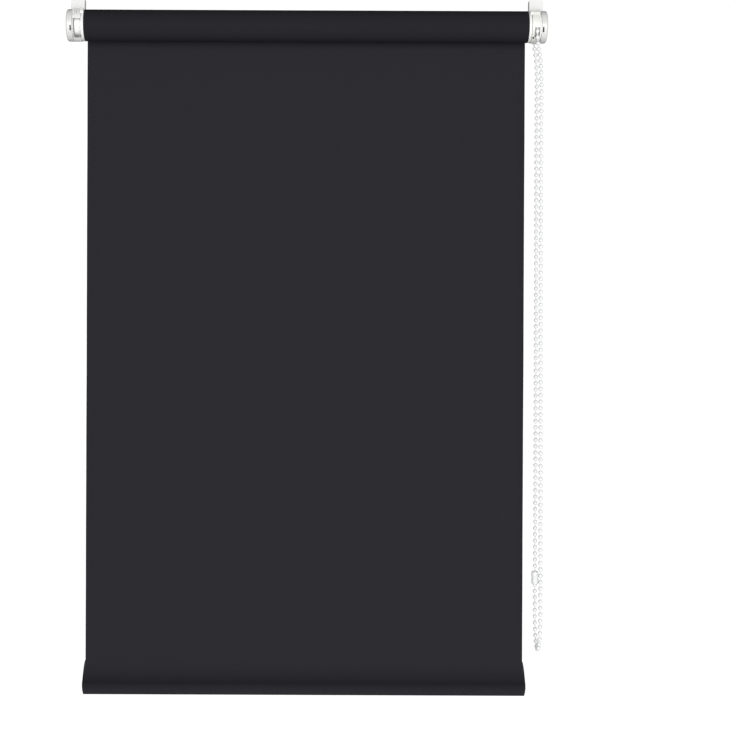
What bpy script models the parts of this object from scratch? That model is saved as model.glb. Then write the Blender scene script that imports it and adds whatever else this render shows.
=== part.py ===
"""Clamp-fix roller blind, modelled as the pieces that it comes apart into.

Run it with: blender --background --python part.py

Frame: metres, +Z up, -Y towards the room. The origin is on the window sash that the blind hooks over: Z 0 is
the sash's top edge, Y 0 is its room-side face and X 0 is the middle of the blind. The roller's axis lies along X.
Lengths below are written in millimetres times MM. "out" is the distance from X 0 towards either end.
"""

import math

import bmesh
import bpy
from mathutils import Matrix, Vector

MM = 0.001
GAP = 0.3 * MM  # between pieces that touch or turn in each other
LEFT, RIGHT = -1, 1

# --- driving dimensions -------------------------------------------------------------------------------------
AXIS_Y = -22.0 * MM  # the roller's axis, in front of the sash
AXIS_Z = -25.0 * MM  # and below its top edge
CLOTH_LEFT = -208.5 * MM
CLOTH_RIGHT = 207.5 * MM
CLOTH_THICK = 0.45 * MM
HEM_BOTTOM = -655.4 * MM
HEM_HEIGHT = 33.0 * MM
CAP_OUT = 225.0 * MM  # outer face of each round cover, so the blind is 450 mm wide
CAP_R = 15.0 * MM

TUBE_R = 9.0 * MM
TUBE_WALL = 0.8 * MM
ROLL_R = 14.5 * MM  # twelve turns of cloth on the tube
FLANGE_R = 14.3 * MM
FLANGE_WIDE = 2.4 * MM

BODY_IN = 211.4 * MM  # a bracket's inner and outer faces
BODY_OUT = 219.0 * MM
SPIGOT_R = 13.3 * MM  # the round step that a cover snaps over
SPIGOT_OUT = 220.8 * MM

BEAD_R = 2.0 * MM
THREAD_R = 0.6 * MM
BEAD_PITCH = 6.0 * MM
BEADS_ROUND = 12  # bead pitches in one turn of the wheel
PITCH_R = BEADS_ROUND * BEAD_PITCH / math.tau  # the chain's own radius on its wheel
WHEEL_X = 215.4 * MM

HOOK_IN = 211.0 * MM
HOOK_OUT = 224.0 * MM
BAR_IN = 216.4 * MM  # the hook's top bar and rear leg are narrower than its front
BAR_OUT = HOOK_OUT - GAP
CLAMP_X = 220.1 * MM
CLAMP_Z = -9.0 * MM  # height of the clamp screw
CLAMP_FACE_Y = 14.0 * MM  # the clamp pad's face: the sash that it grips is this thick

ROUND = 36  # sides of a large round piece
SMALL = 20  # and of a small one

TO_AXIS = Matrix.Translation((0, AXIS_Y, AXIS_Z))  # turning axis along X, on the roller's axis
WELD = 1e-6
SHARP = math.radians(35)


# --- helpers ------------------------------------------------------------------------------------------------
def clear_scene():
    for old in list(bpy.data.objects):
        bpy.data.objects.remove(old)


def material(name, colour, roughness, metallic=0.0):
    made = bpy.data.materials.new(name)
    made.use_nodes = True
    shader = made.node_tree.nodes["Principled BSDF"]
    shader.inputs["Base Color"].default_value = (*colour, 1.0)
    shader.inputs["Roughness"].default_value = roughness
    shader.inputs["Metallic"].default_value = metallic
    return made


def to_object(bm, name, finish, place):
    """The bmesh as an object with clean outward normals."""
    bmesh.ops.remove_doubles(bm, verts=bm.verts, dist=WELD)
    bmesh.ops.recalc_face_normals(bm, faces=bm.faces)
    mesh = bpy.data.meshes.new(name)
    bm.to_mesh(mesh)
    bm.free()
    mesh.shade_smooth()
    mesh.set_sharp_from_angle(angle=SHARP)
    mesh.materials.append(finish)
    made = bpy.data.objects.new(name, mesh)
    made.matrix_world = place
    bpy.context.scene.collection.objects.link(made)
    return made


def turned(name, profile, finish, place=TO_AXIS, steps=ROUND):
    """A profile of (x, radius) points turned about the local X axis. It is closed, or starts and ends on the axis."""
    bm = bmesh.new()
    rim = [bm.verts.new((x, 0, r)) for x, r in profile]
    for a, b in zip(rim, rim[1:]):
        bm.edges.new((a, b))
    if profile[0][1] > 0:
        bm.edges.new((rim[-1], rim[0]))
    bmesh.ops.spin(
        bm, geom=bm.verts[:] + bm.edges[:], cent=(0, 0, 0), axis=(1, 0, 0), angle=math.tau, steps=steps
    )
    return to_object(bm, name, finish, place)


def ring(name, x0, x1, inner, outer, finish, place=TO_AXIS, steps=ROUND):
    """A plain tube between two radii."""
    return turned(name, [(x0, inner), (x0, outer), (x1, outer), (x1, inner)], finish, place, steps)


def rod(name, x0, x1, radius, finish, place=TO_AXIS, steps=SMALL):
    """A plain round bar."""
    return turned(name, [(x0, 0), (x0, radius), (x1, radius), (x1, 0)], finish, place, steps)


def prism(name, outline, x0, x1, finish, place=Matrix.Identity(4)):
    """An outline of (y, z) points drawn out along X from x0 to x1."""
    bm = bmesh.new()
    face = bm.faces.new([bm.verts.new((x0, y, z)) for y, z in outline])
    drawn = bmesh.ops.extrude_face_region(bm, geom=[face])
    moved = [v for v in drawn["geom"] if isinstance(v, bmesh.types.BMVert)]
    bmesh.ops.translate(bm, verts=moved, vec=(x1 - x0, 0, 0))
    return to_object(bm, name, finish, place)


def sleeve(name, outer, inner, x0, x1, finish):
    """Two outlines of (y, z) points, one inside the other, drawn out along X as a tunnel."""
    bm = bmesh.new()
    edges = []
    for outline in (outer, inner):
        loop = [bm.verts.new((x0, y, z)) for y, z in outline]
        edges += [bm.edges.new((a, b)) for a, b in zip(loop, loop[1:] + loop[:1])]
    end = bmesh.ops.bridge_loops(bm, edges=edges)["faces"]
    drawn = bmesh.ops.extrude_face_region(bm, geom=end)
    moved = [v for v in drawn["geom"] if isinstance(v, bmesh.types.BMVert)]
    bmesh.ops.translate(bm, verts=moved, vec=(x1 - x0, 0, 0))
    return to_object(bm, name, finish, Matrix.Identity(4))


def box(name, low, high, finish, place=Matrix.Identity(4)):
    """A box between two opposite corners."""
    low, high = Vector(low), Vector(high)
    bm = bmesh.new()
    bmesh.ops.create_cube(bm, size=1.0)
    size = Matrix.Diagonal((*(high - low), 1))
    bmesh.ops.transform(bm, matrix=Matrix.Translation((low + high) / 2) @ size, verts=bm.verts)
    return to_object(bm, name, finish, place)


def combine(target, helper, operation):
    """A Boolean with a helper that isn't a piece itself."""
    helper.hide_render = True
    helper.display_type = "WIRE"
    step = target.modifiers.new(helper.name, "BOOLEAN")
    step.operation = operation
    step.solver = "EXACT"
    step.object = helper
    return target


def cut(target, helper):
    return combine(target, helper, "DIFFERENCE")


def fuse(target, helper):
    return combine(target, helper, "UNION")


def span(side, a, b):
    """Two distances from the middle as an ascending pair of X values on that side."""
    return sorted((side * a, side * b))


def side_name(side):
    return "left" if side == LEFT else "right"


def along_y(x, z):
    """Puts a piece turned about local X with that axis along +Y, through X and Z."""
    return Matrix.Translation((x, 0, z)) @ Matrix.Rotation(math.pi / 2, 4, "Z")


def arc(radius, start, stop, steps, centre=(0.0, 0.0)):
    """Points on a circle in (y, z). 0 degrees is +Y, and 90 degrees is +Z."""
    angles = [math.radians(start + (stop - start) * i / steps) for i in range(steps + 1)]
    return [(centre[0] + radius * math.cos(a), centre[1] + radius * math.sin(a)) for a in angles]


def bezier(a, b, c, d, steps):
    """Points on a cubic Bezier curve in (y, z), both ends included."""
    points = []
    for i in range(steps + 1):
        t = i / steps
        weights = ((1 - t) ** 3, 3 * t * (1 - t) ** 2, 3 * t * t * (1 - t), t**3)
        points.append(tuple(sum(w * p[k] for w, p in zip(weights, (a, b, c, d))) for k in (0, 1)))
    return points


def smooth_route(points, step):
    """Points about a step apart on the Catmull-Rom curve through the route's own points."""
    ends = [2 * points[0] - points[1], *points, 2 * points[-1] - points[-2]]
    route = []
    for a, b, c, d in zip(ends, ends[1:], ends[2:], ends[3:]):
        pieces = max(1, round((c - b).length / step))
        for i in range(pieces):
            t = i / pieces
            route.append(
                0.5 * (2 * b + (c - a) * t + (2 * a - 5 * b + 4 * c - d) * t**2 + (3 * b - a - 3 * c + d) * t**3)
            )
    return [*route, points[-1]]


def wire(name, points, radius, finish, sides=2, radii=None, place=Matrix.Identity(4)):
    """A round bar along a line of points, with filled ends. radii scales the bar at each point."""
    curve = bpy.data.curves.new(name, "CURVE")
    curve.dimensions = "3D"
    curve.bevel_depth = radius
    curve.bevel_resolution = sides
    curve.use_fill_caps = True
    curve.twist_mode = "MINIMUM"
    spline = curve.splines.new("POLY")
    spline.points.add(len(points) - 1)
    for i, (at, point) in enumerate(zip(spline.points, points)):
        at.co = (*point, 1)
        at.radius = radii[i] if radii else 1.0
    curve.materials.append(finish)
    made = bpy.data.objects.new(name, curve)
    made.matrix_world = place
    bpy.context.scene.collection.objects.link(made)
    return made


def helix(x0, x1, radius, turns, steps):
    """Points of a coil about the X axis."""
    points = []
    for i in range(turns * steps + 1):
        angle = math.tau * i / steps
        x = x0 + (x1 - x0) * i / (turns * steps)
        points.append(Vector((x, radius * math.cos(angle), radius * math.sin(angle))))
    return points


# --- clamp hooks --------------------------------------------------------------------------------------------
HOOK_TOP = 3.3 * MM
BLOCK_FRONT = -9.5 * MM
BLOCK_BOTTOM = -15.5 * MM
PLATE_FRONT = -4.0 * MM
PLATE_BACK = -1.0 * MM
PLATE_BOTTOM = -35.5 * MM
BAR_TOP = HOOK_TOP - GAP
BAR_ROOT = -5.0 * MM  # where the bar starts, inside the block
LEG_FRONT = 24.0 * MM
LEG_BACK = 27.0 * MM
LEG_BOTTOM = -16.0 * MM
CLAMP_SCREW_R = 2.0 * MM
CLAMP_BORE_R = CLAMP_SCREW_R + 0.4 * MM
CLAMP_NUT_R = 4.0 * MM  # across its corners, halved
CLAMP_NUT_BACK = LEG_BACK + GAP + 4.0 * MM
CLAMP_PAD_THICK = 3.0 * MM
CLAMP_SOCKET = 1.5 * MM  # depth of the pad's socket for the screw's tip
KNOB_FRONT = 38.0 * MM
KNOB_BACK = 45.0 * MM
KNOB_R = 4.7 * MM
KNOB_RIDGES = 20
KNOB_GROOVE = 0.92  # a groove's radius as a share of the knob's
PAD_EDGE = 1.5 * MM  # the hook's face left bare round its foam pad

BRACKET_SCREW_X = 215.0 * MM
BRACKET_SCREW_Z = AXIS_Z + 10.6 * MM
REAR_SCREW_Z = AXIS_Z - 6.0 * MM
SCREW_HOLE_R = 1.6 * MM
SCREW_SHANK_R = 1.25 * MM


def clamp_hook(side, finish):
    """The hook over the sash: a front block and plate, a flat top bar and a rear leg that carries the clamp screw."""
    front = [
        (BLOCK_FRONT, HOOK_TOP),
        (BLOCK_FRONT, BLOCK_BOTTOM),
        (PLATE_FRONT, BLOCK_BOTTOM),
        (PLATE_FRONT, PLATE_BOTTOM),
        (PLATE_BACK, PLATE_BOTTOM),
        (PLATE_BACK, HOOK_TOP),
    ]
    bar = [
        (BAR_ROOT, BAR_TOP),
        (BAR_ROOT, 0.0),
        (LEG_FRONT, 0.0),
        (LEG_FRONT, LEG_BOTTOM),
        (LEG_BACK, LEG_BOTTOM),
        (LEG_BACK, BAR_TOP),
    ]
    name = f"clamp_hook_{side_name(side)}"
    hook = prism(name, front, *span(side, HOOK_IN, HOOK_OUT), finish)
    fuse(hook, prism(f"{name}_bar", bar, *span(side, BAR_IN, BAR_OUT), finish))
    clamp = along_y(side * CLAMP_X, CLAMP_Z)
    cut(hook, rod(f"{name}_leg_hole", LEG_FRONT - MM, LEG_BACK + MM, CLAMP_BORE_R, finish, clamp))
    screw = along_y(side * BRACKET_SCREW_X, BRACKET_SCREW_Z)
    return cut(hook, rod(f"{name}_screw_hole", BLOCK_FRONT - MM, PLATE_BACK + MM, SCREW_HOLE_R, finish, screw))


def sash_pad(side, finish):
    """The thin foam strip between the hook's plate and the sash."""
    x0, x1 = span(side, HOOK_IN + PAD_EDGE, HOOK_OUT - PAD_EDGE)
    low = (x0, PLATE_BACK + GAP, PLATE_BOTTOM + PAD_EDGE)
    return box(f"sash_pad_{side_name(side)}", low, (x1, 0.0, -2 * PAD_EDGE), finish)


def clamp_nut(side, finish):
    """The hexagon nut behind the rear leg."""
    place = along_y(side * CLAMP_X, CLAMP_Z)
    name = f"clamp_nut_{side_name(side)}"
    hexagon = arc(CLAMP_NUT_R, 0, 300, 5)
    nut = prism(name, hexagon, LEG_BACK + GAP, CLAMP_NUT_BACK, finish, place)
    bore = CLAMP_SCREW_R + GAP
    return cut(nut, rod(f"{name}_bore", LEG_BACK - MM, CLAMP_NUT_BACK + MM, bore, finish, place))


def clamp_pad(side, finish):
    """The swivel pad on the clamp screw's tip, with a shallow socket for it."""
    face, back = CLAMP_FACE_Y, CLAMP_FACE_Y + CLAMP_PAD_THICK
    profile = [
        (face, 0),
        (face, 4.1 * MM),
        (face + 0.5 * MM, 4.5 * MM),
        (back - MM, 4.5 * MM),
        (back, 3.2 * MM),
        (back, 1.9 * MM),
        (back - CLAMP_SOCKET, 1.9 * MM),
        (back - CLAMP_SOCKET, 0),
    ]
    return turned(f"clamp_pad_{side_name(side)}", profile, finish, along_y(side * CLAMP_X, CLAMP_Z), SMALL)


def clamp_screw(side, finish):
    """The thumb screw: a tip that sits in the pad, a plain shank for the thread and a knurled knob."""
    tip = CLAMP_FACE_Y + CLAMP_PAD_THICK - CLAMP_SOCKET + GAP
    shoulder = CLAMP_FACE_Y + CLAMP_PAD_THICK + GAP
    profile = [
        (tip, 0),
        (tip, 1.1 * MM),
        (tip + 0.5 * MM, 1.6 * MM),
        (shoulder, 1.6 * MM),
        (shoulder, CLAMP_SCREW_R),
        (KNOB_FRONT + MM, CLAMP_SCREW_R),
        (KNOB_FRONT + MM, 0),
    ]
    place = along_y(side * CLAMP_X, CLAMP_Z)
    name = f"clamp_screw_{side_name(side)}"
    screw = turned(name, profile, finish, place, SMALL)
    knurl = []
    for i in range(2 * KNOB_RIDGES):
        angle = math.pi * i / KNOB_RIDGES
        radius = KNOB_R * (KNOB_GROOVE if i % 2 else 1.0)
        knurl.append((radius * math.cos(angle), radius * math.sin(angle)))
    return fuse(screw, prism(f"{name}_knob", knurl, KNOB_FRONT, KNOB_BACK, finish, place))


# --- brackets and covers ------------------------------------------------------------------------------------
BRACKET_R = CAP_R
BROW_Y = -11.8 * MM  # the flat brow above the front of each bracket, from the roller's axis
BROW_HIGH = 11.2 * MM
ROOF_Y = -9.5 * MM
ROOF_Z = 14.4 * MM
TAIL_Z = -10.4 * MM  # underside of a bracket where it meets the hook
TAIL_ANGLE = 305  # where the round underside ends
PIN_R = 2.5 * MM
SPINDLE_R = 4.0 * MM
SPINDLE_HOLE_R = SPINDLE_R + 0.35 * MM
RUNNING = 0.4 * MM  # radial room round a turning shaft
DRUM_R = 9.0 * MM
DRUM_OUT = BODY_OUT - MM
WINDOW_OUT = BODY_OUT - 0.5 * MM
WINDOW_LOW = -13.0 * MM
WINDOW_BACK = DRUM_R + 0.5 * MM
VISOR_IN = 208.9 * MM  # each brow reaches this far in, over the roller's flange
VISOR_R = 14.85 * MM
VISOR_STEP = 0.1 * MM
RECESS_FLOOR = -9.6 * MM
RECESS_R = 2.9 * MM

GUARD_IN = 210.6 * MM
GUARD_OUT = BODY_OUT - 0.5 * MM
GUARD_WALL = 0.9 * MM
WHEEL_WALL = BODY_OUT - 1.2 * MM  # inner face of the wall that holds the spindle
WALL_R = CAP_R - GUARD_WALL - GAP


def round_front(start):
    """The round underside and front of a bracket from an angle up to its brow, then up to its roof."""
    brow = math.degrees(math.acos(BROW_Y / BRACKET_R))
    return [*arc(BRACKET_R, start, brow, 20), (BROW_Y, BROW_HIGH), (ROOF_Y, ROOF_Z)]


def visor(name, side, root, finish):
    """The part of a brow that reaches in over the roller's flange, from a distance out that is its root."""
    front = BROW_Y + VISOR_STEP
    roof = ROOF_Z - 1.5 * VISOR_STEP
    brow = [(front, 8.6 * MM), (front, BROW_HIGH - VISOR_STEP), (ROOF_Y + VISOR_STEP, roof), (-6.0 * MM, roof)]
    made = prism(name, brow, *span(side, VISOR_IN, root), finish, TO_AXIS)
    return cut(made, rod(f"{name}_room", *span(side, VISOR_IN - MM, root + MM), VISOR_R, finish, steps=ROUND))


def bracket_outline():
    """A bracket from the side: a round front, a flat roof, and a back that follows the hook."""
    hook_front = BLOCK_FRONT - AXIS_Y - GAP
    plate_front = PLATE_FRONT - AXIS_Y - GAP
    shelf = BLOCK_BOTTOM - AXIS_Z - GAP
    return [
        *round_front(TAIL_ANGLE),
        (hook_front, ROOF_Z),
        (hook_front, shelf),
        (plate_front, shelf),
        (plate_front, TAIL_Z),
    ]


def bracket_left(finish):
    """The idle side's bracket: a side wall with the pin's bearing, and a body open to the front round the drum."""
    x0, x1 = span(LEFT, BODY_IN, BODY_OUT)
    bracket = prism("bracket_left", bracket_outline(), x0, x1, finish, TO_AXIS)
    fuse(bracket, rod("bracket_left_spigot", -SPIGOT_OUT, -BODY_OUT + 0.3 * MM, SPIGOT_R, finish, steps=ROUND))
    fuse(bracket, visor("bracket_left_visor", LEFT, BODY_IN + MM, finish))
    room = DRUM_R + 0.5 * MM
    opening = [
        (-20 * MM, WINDOW_LOW),
        (WINDOW_BACK, WINDOW_LOW),
        (WINDOW_BACK, room),
        (-2 * MM, room),
        (-13.3 * MM, 6.9 * MM),
        (-20 * MM, 9.1 * MM),
    ]
    cut(bracket, prism("bracket_left_window", opening, -WINDOW_OUT, -BODY_IN + MM, finish, TO_AXIS))
    cut(bracket, rod("bracket_left_bearing", -SPIGOT_OUT - MM, -BODY_IN, PIN_R + RUNNING, finish))
    place = along_y(-BRACKET_SCREW_X, BRACKET_SCREW_Z)
    front = AXIS_Y - 20 * MM
    cut(bracket, rod("bracket_left_screw_way", front, PLATE_FRONT + MM, SCREW_HOLE_R, finish, place))
    return cut(bracket, rod("bracket_left_recess", front, AXIS_Y + RECESS_FLOOR, RECESS_R, finish, place))


def bracket_right(finish):
    """The chain side's bracket: a round wall that holds the spindle, on a block fixed to the hook's plate."""
    bracket = rod("bracket_right", WHEEL_WALL, BODY_OUT, WALL_R, finish, steps=ROUND)
    fuse(bracket, rod("bracket_right_spigot", BODY_OUT - MM, SPIGOT_OUT, SPIGOT_R, finish, steps=ROUND))
    front = BRACKET_R + GAP
    back = PLATE_FRONT - AXIS_Y - GAP
    roof = BLOCK_BOTTOM - AXIS_Z - GAP
    fuse(bracket, box("bracket_right_arm", (WHEEL_WALL, 0, TAIL_Z), (BODY_OUT, back, roof), finish, TO_AXIS))
    fuse(bracket, box("bracket_right_block", (BODY_IN, front, TAIL_Z), (BODY_OUT, back, roof), finish, TO_AXIS))
    cut(bracket, rod("bracket_right_hole", WHEEL_WALL - MM, SPIGOT_OUT + MM, SPINDLE_HOLE_R, finish))
    place = along_y(BRACKET_SCREW_X, REAR_SCREW_Z)
    return cut(bracket, rod("bracket_right_screw_way", AXIS_Y + front - MM, PLATE_FRONT, SCREW_HOLE_R, finish, place))


def bracket_screw_left(finish):
    """The cross-head screw from the brow through the bracket into the hook's plate."""
    place = along_y(-BRACKET_SCREW_X, BRACKET_SCREW_Z)
    seat = AXIS_Y + RECESS_FLOOR - GAP
    face = seat - 1.8 * MM
    profile = [
        (face, 0),
        (face, 1.7 * MM),
        (seat - 1.2 * MM, 2.5 * MM),
        (seat, 2.5 * MM),
        (seat, SCREW_SHANK_R),
        (PLATE_BACK - 0.6 * MM, SCREW_SHANK_R),
        (PLATE_BACK - GAP, 0.5 * MM),
        (PLATE_BACK - GAP, 0),
    ]
    screw = turned("bracket_screw_left", profile, finish, place, SMALL)
    return cross_recess(screw, face - MM, face + MM, finish, place)


def cross_recess(screw, x0, x1, finish, place):
    """A cross cut into a screw's head, between two local X values."""
    long, wide = 1.5 * MM, 0.35 * MM
    for i, (y, z) in enumerate(((long, wide), (wide, long))):
        cut(screw, box(f"{screw.name}_cross_{i}", (x0, -y, -z), (x1, y, z), finish, place))
    return screw


REAR_HEAD = PLATE_BACK - 1.3 * MM  # underside of the rear screw's head


def bracket_screw_right(finish):
    """The short screw from behind the hook's plate into the chain side's bracket."""
    place = along_y(BRACKET_SCREW_X, REAR_SCREW_Z)
    tip = AXIS_Y + BRACKET_R + 1.1 * MM
    face = PLATE_BACK - 0.1 * MM
    profile = [
        (tip, 0),
        (tip, SCREW_SHANK_R),
        (REAR_HEAD, SCREW_SHANK_R),
        (REAR_HEAD, 2.4 * MM),
        (face, 2.4 * MM),
        (face, 0),
    ]
    screw = turned("bracket_screw_right", profile, finish, place, SMALL)
    return cross_recess(screw, face - 0.7 * MM, face + MM, finish, place)


def seat_rear_screw(hook, finish):
    """The rear screw's hole and head recess in the right hook's plate."""
    place = along_y(BRACKET_SCREW_X, REAR_SCREW_Z)
    cut(hook, rod("clamp_hook_right_rear_hole", PLATE_FRONT - MM, PLATE_BACK + MM, SCREW_HOLE_R, finish, place))
    return cut(hook, rod("clamp_hook_right_recess", REAR_HEAD - GAP, PLATE_BACK + MM, 2.8 * MM, finish, place))


SLOT_IN = 220.0 * MM
SLOT_OUT = 221.4 * MM
SLOT_DEEP = 1.1 * MM
SLOT_LOW = -7.6 * MM
SLOT_HIGH = -2.8 * MM


def cover_cap(side, finish):
    """The round cover that snaps over a bracket's spigot, with a short pry slot in its rim."""
    name = f"cover_cap_{side_name(side)}"
    skirt, wall, soft = 1.4 * MM, 1.3 * MM, 1.6 * MM
    rim = BODY_OUT + GAP
    edge = [(CAP_OUT - soft + soft * math.sin(a), CAP_R - soft + soft * math.cos(a)) for a in quarter(4)]
    profile = [
        (rim, CAP_R - skirt),
        (rim, CAP_R),
        *edge,
        (CAP_OUT, 0),
    ]
    hollow = [(CAP_OUT - wall, 0), (CAP_OUT - wall, CAP_R - skirt)]
    closed = [(side * x, r) for x, r in [*hollow, *profile]]
    cap = turned(name, closed, finish)
    low_x, high_x = span(side, SLOT_IN, SLOT_OUT)
    low, high = (low_x, -CAP_R - MM, SLOT_LOW), (high_x, -CAP_R + SLOT_DEEP, SLOT_HIGH)
    return cut(cap, box(f"{name}_slot", low, high, finish, TO_AXIS))


def quarter(steps):
    """Angles of a quarter turn, both ends included."""
    return [math.pi / 2 * i / steps for i in range(steps + 1)]


# --- chain drive --------------------------------------------------------------------------------------------
HUB_R = 5.9 * MM
SLEEVE_BORE = 6.2 * MM
SLEEVE_END = 178.0 * MM
NOSE_R = 2.6 * MM
EXIT_EDGE = 8.9 * MM  # inner edge of each gap where the chain leaves, from the roller's axis
EXIT_TOP = -3.2 * MM
PIN_HOLE_R = 0.85 * MM
WHEEL_HALF = 2.1 * MM


def chain_guard(finish):
    """The shell round the chain wheel, with a gap at its lower front and back where the chain leaves."""
    outline = [*round_front(270), *arc(BRACKET_R, 64, -90, 24)[:-1]]
    guard = prism("chain_guard", outline, GUARD_IN, GUARD_OUT, finish, TO_AXIS)
    fuse(guard, visor("chain_guard_visor", RIGHT, GUARD_IN + MM, finish))
    inner = BRACKET_R - GUARD_WALL
    hollow = GUARD_IN + 1.1 * MM
    beyond = GUARD_OUT + MM
    cut(guard, rod("chain_guard_hollow", hollow, beyond, inner, finish, steps=ROUND))
    cut(guard, rod("chain_guard_hole", GUARD_IN - MM, hollow + MM, HUB_R + 0.5 * MM, finish))
    for name, y0, y1 in (("front", -BRACKET_R - MM, -EXIT_EDGE), ("back", EXIT_EDGE, BRACKET_R + MM)):
        low = (WHEEL_X - BEAD_R - 0.9 * MM, y0, -BRACKET_R)
        cut(guard, box(f"chain_guard_{name}_gap", low, (beyond, y1, EXIT_TOP), finish, TO_AXIS))
    low = (WHEEL_WALL - GAP, 5 * MM, TAIL_Z - GAP)
    high = (beyond, BRACKET_R + MM, BLOCK_BOTTOM - AXIS_Z)
    cut(guard, box("chain_guard_notch", low, high, finish, TO_AXIS))
    place = along_y(GUARD_IN + 1.2 * MM, AXIS_Z - 11.9 * MM)
    return cut(guard, rod("chain_guard_pin_hole", AXIS_Y - BRACKET_R, AXIS_Y - 5 * MM, PIN_HOLE_R, finish, place))


def chain_wheel(finish):
    """The pulley, with one round groove for the beads, on a hub that reaches into the drive sleeve."""
    hub_end = 199.0 * MM
    groove_r = BEAD_R + GAP
    rim = PITCH_R - 1.4 * MM
    open_half = math.sqrt(groove_r**2 - (PITCH_R - rim) ** 2)
    edge = math.atan2(PITCH_R - rim, open_half)
    groove = []
    for i in range(11):
        angle = edge + (math.pi - 2 * edge) * i / 10
        groove.append((WHEEL_X - groove_r * math.cos(angle), PITCH_R - groove_r * math.sin(angle)))
    profile = [
        (hub_end, SPINDLE_HOLE_R),
        (hub_end, HUB_R),
        (WHEEL_X - WHEEL_HALF, HUB_R),
        (WHEEL_X - WHEEL_HALF, rim),
        *groove,
        (WHEEL_X + WHEEL_HALF, rim),
        (WHEEL_X + WHEEL_HALF, SPINDLE_HOLE_R),
    ]
    return turned("chain_wheel", profile, finish)


def clutch_spindle(finish):
    """The fixed spindle that the wheel turns on and the brake springs grip."""
    profile = [
        (SLEEVE_END - 3 * MM, 0),
        (SLEEVE_END - 3 * MM, NOSE_R - 0.6 * MM),
        (SLEEVE_END - 2.4 * MM, NOSE_R),
        (SLEEVE_END + 4 * MM, NOSE_R),
        (SLEEVE_END + 4 * MM, SPINDLE_R),
        (SPIGOT_OUT + GAP, SPINDLE_R),
        (SPIGOT_OUT + GAP, 7.0 * MM),
        (SPIGOT_OUT + 1.3 * MM, 7.0 * MM),
        (SPIGOT_OUT + 1.3 * MM, 0),
    ]
    return turned("clutch_spindle", profile, finish, steps=32)


def spindle_clip(finish):
    """The open ring on the spindle's nose that keeps the drive sleeve on."""
    x0, x1 = SLEEVE_END - 1.5 * MM, SLEEVE_END - 0.6 * MM
    clip = ring("spindle_clip", x0, x1, NOSE_R + 0.25 * MM, NOSE_R + 2.2 * MM, finish, steps=SMALL)
    low = (x0 - MM, -1.2 * MM, 0)
    return cut(clip, box("spindle_clip_mouth", low, (x1 + MM, 1.2 * MM, 6 * MM), finish, TO_AXIS))


def drive_sleeve(finish):
    """The plug in the tube's chain end, with the flange that shows beside the roll."""
    flange = CLOTH_RIGHT + GAP
    body = TUBE_R - TUBE_WALL - GAP
    profile = [
        (SLEEVE_END, NOSE_R + RUNNING),
        (SLEEVE_END, body),
        (flange, body),
        (flange, FLANGE_R),
        (flange + FLANGE_WIDE, FLANGE_R),
        (flange + FLANGE_WIDE, SLEEVE_BORE),
        (SLEEVE_END + 2 * MM, SLEEVE_BORE),
        (SLEEVE_END + 2 * MM, NOSE_R + RUNNING),
    ]
    return turned("drive_sleeve", profile, finish)


def wrap_spring(number, x0, finish):
    """One of the two brake springs wound round the spindle."""
    wire_r, turns = 0.4 * MM, 6
    points = helix(x0, x0 + turns * 1.05 * MM, SPINDLE_R + 0.4 * MM + wire_r, turns, 12)
    return wire(f"wrap_spring_{number}", points, wire_r, finish, sides=0, place=TO_AXIS)


# --- chain --------------------------------------------------------------------------------------------------
HANG_X = 217.6 * MM  # the hanging runs, a little outside the wheel


def chain_point(x, forward, drop):
    """A point of the chain's route, from its distance in front of the roller's axis and below it."""
    return Vector((x, AXIS_Y - forward, AXIS_Z - drop))


# The front run leaves its wheel, spreads forward and outward, and hangs; the rear run hangs straight.
CHAIN_ROUTE = [
    (WHEEL_X, PITCH_R, 9 * MM),
    (WHEEL_X + 0.4 * MM, PITCH_R + 1.2 * MM, 18 * MM),
    (WHEEL_X + 1.7 * MM, 18.4 * MM, 34 * MM),
    (HANG_X, 21.6 * MM, 52 * MM),
    (HANG_X, 22.0 * MM, 80 * MM),
    (HANG_X, 22.0 * MM, 150 * MM),
    (HANG_X, 22.0 * MM, 250 * MM),
    (HANG_X, 22.0 * MM, 350 * MM),
    (HANG_X, 22.0 * MM, 450 * MM),
    (HANG_X, 21.9 * MM, 530 * MM),
    (HANG_X, 21.0 * MM, 560 * MM),
    (HANG_X, 16.5 * MM, 577 * MM),
    (HANG_X, 5.3 * MM, 585 * MM),
    (HANG_X, -6.0 * MM, 577 * MM),
    (HANG_X, -10.6 * MM, 560 * MM),
    (HANG_X, -PITCH_R, 540 * MM),
    (HANG_X, -PITCH_R, 520 * MM),
    (HANG_X, -PITCH_R, 400 * MM),
    (HANG_X, -PITCH_R, 250 * MM),
    (HANG_X, -PITCH_R, 110 * MM),
    (HANG_X, -PITCH_R, 60 * MM),
    (HANG_X, -PITCH_R, 48 * MM),
    (WHEEL_X + 1.6 * MM, -PITCH_R, 34 * MM),
    (WHEEL_X + 0.4 * MM, -PITCH_R, 18 * MM),
    (WHEEL_X, -PITCH_R, 9 * MM),
]
CONNECTOR_DROP = 520.0 * MM
CONNECTOR_LONG = 12.0 * MM


def chain_loop(finish):
    """The hanging loop of the chain, as a plain bar of the beads' diameter."""
    route = smooth_route([chain_point(*p) for p in CHAIN_ROUTE], 16 * MM)
    return wire("chain_loop", route, BEAD_R, finish)


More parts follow.
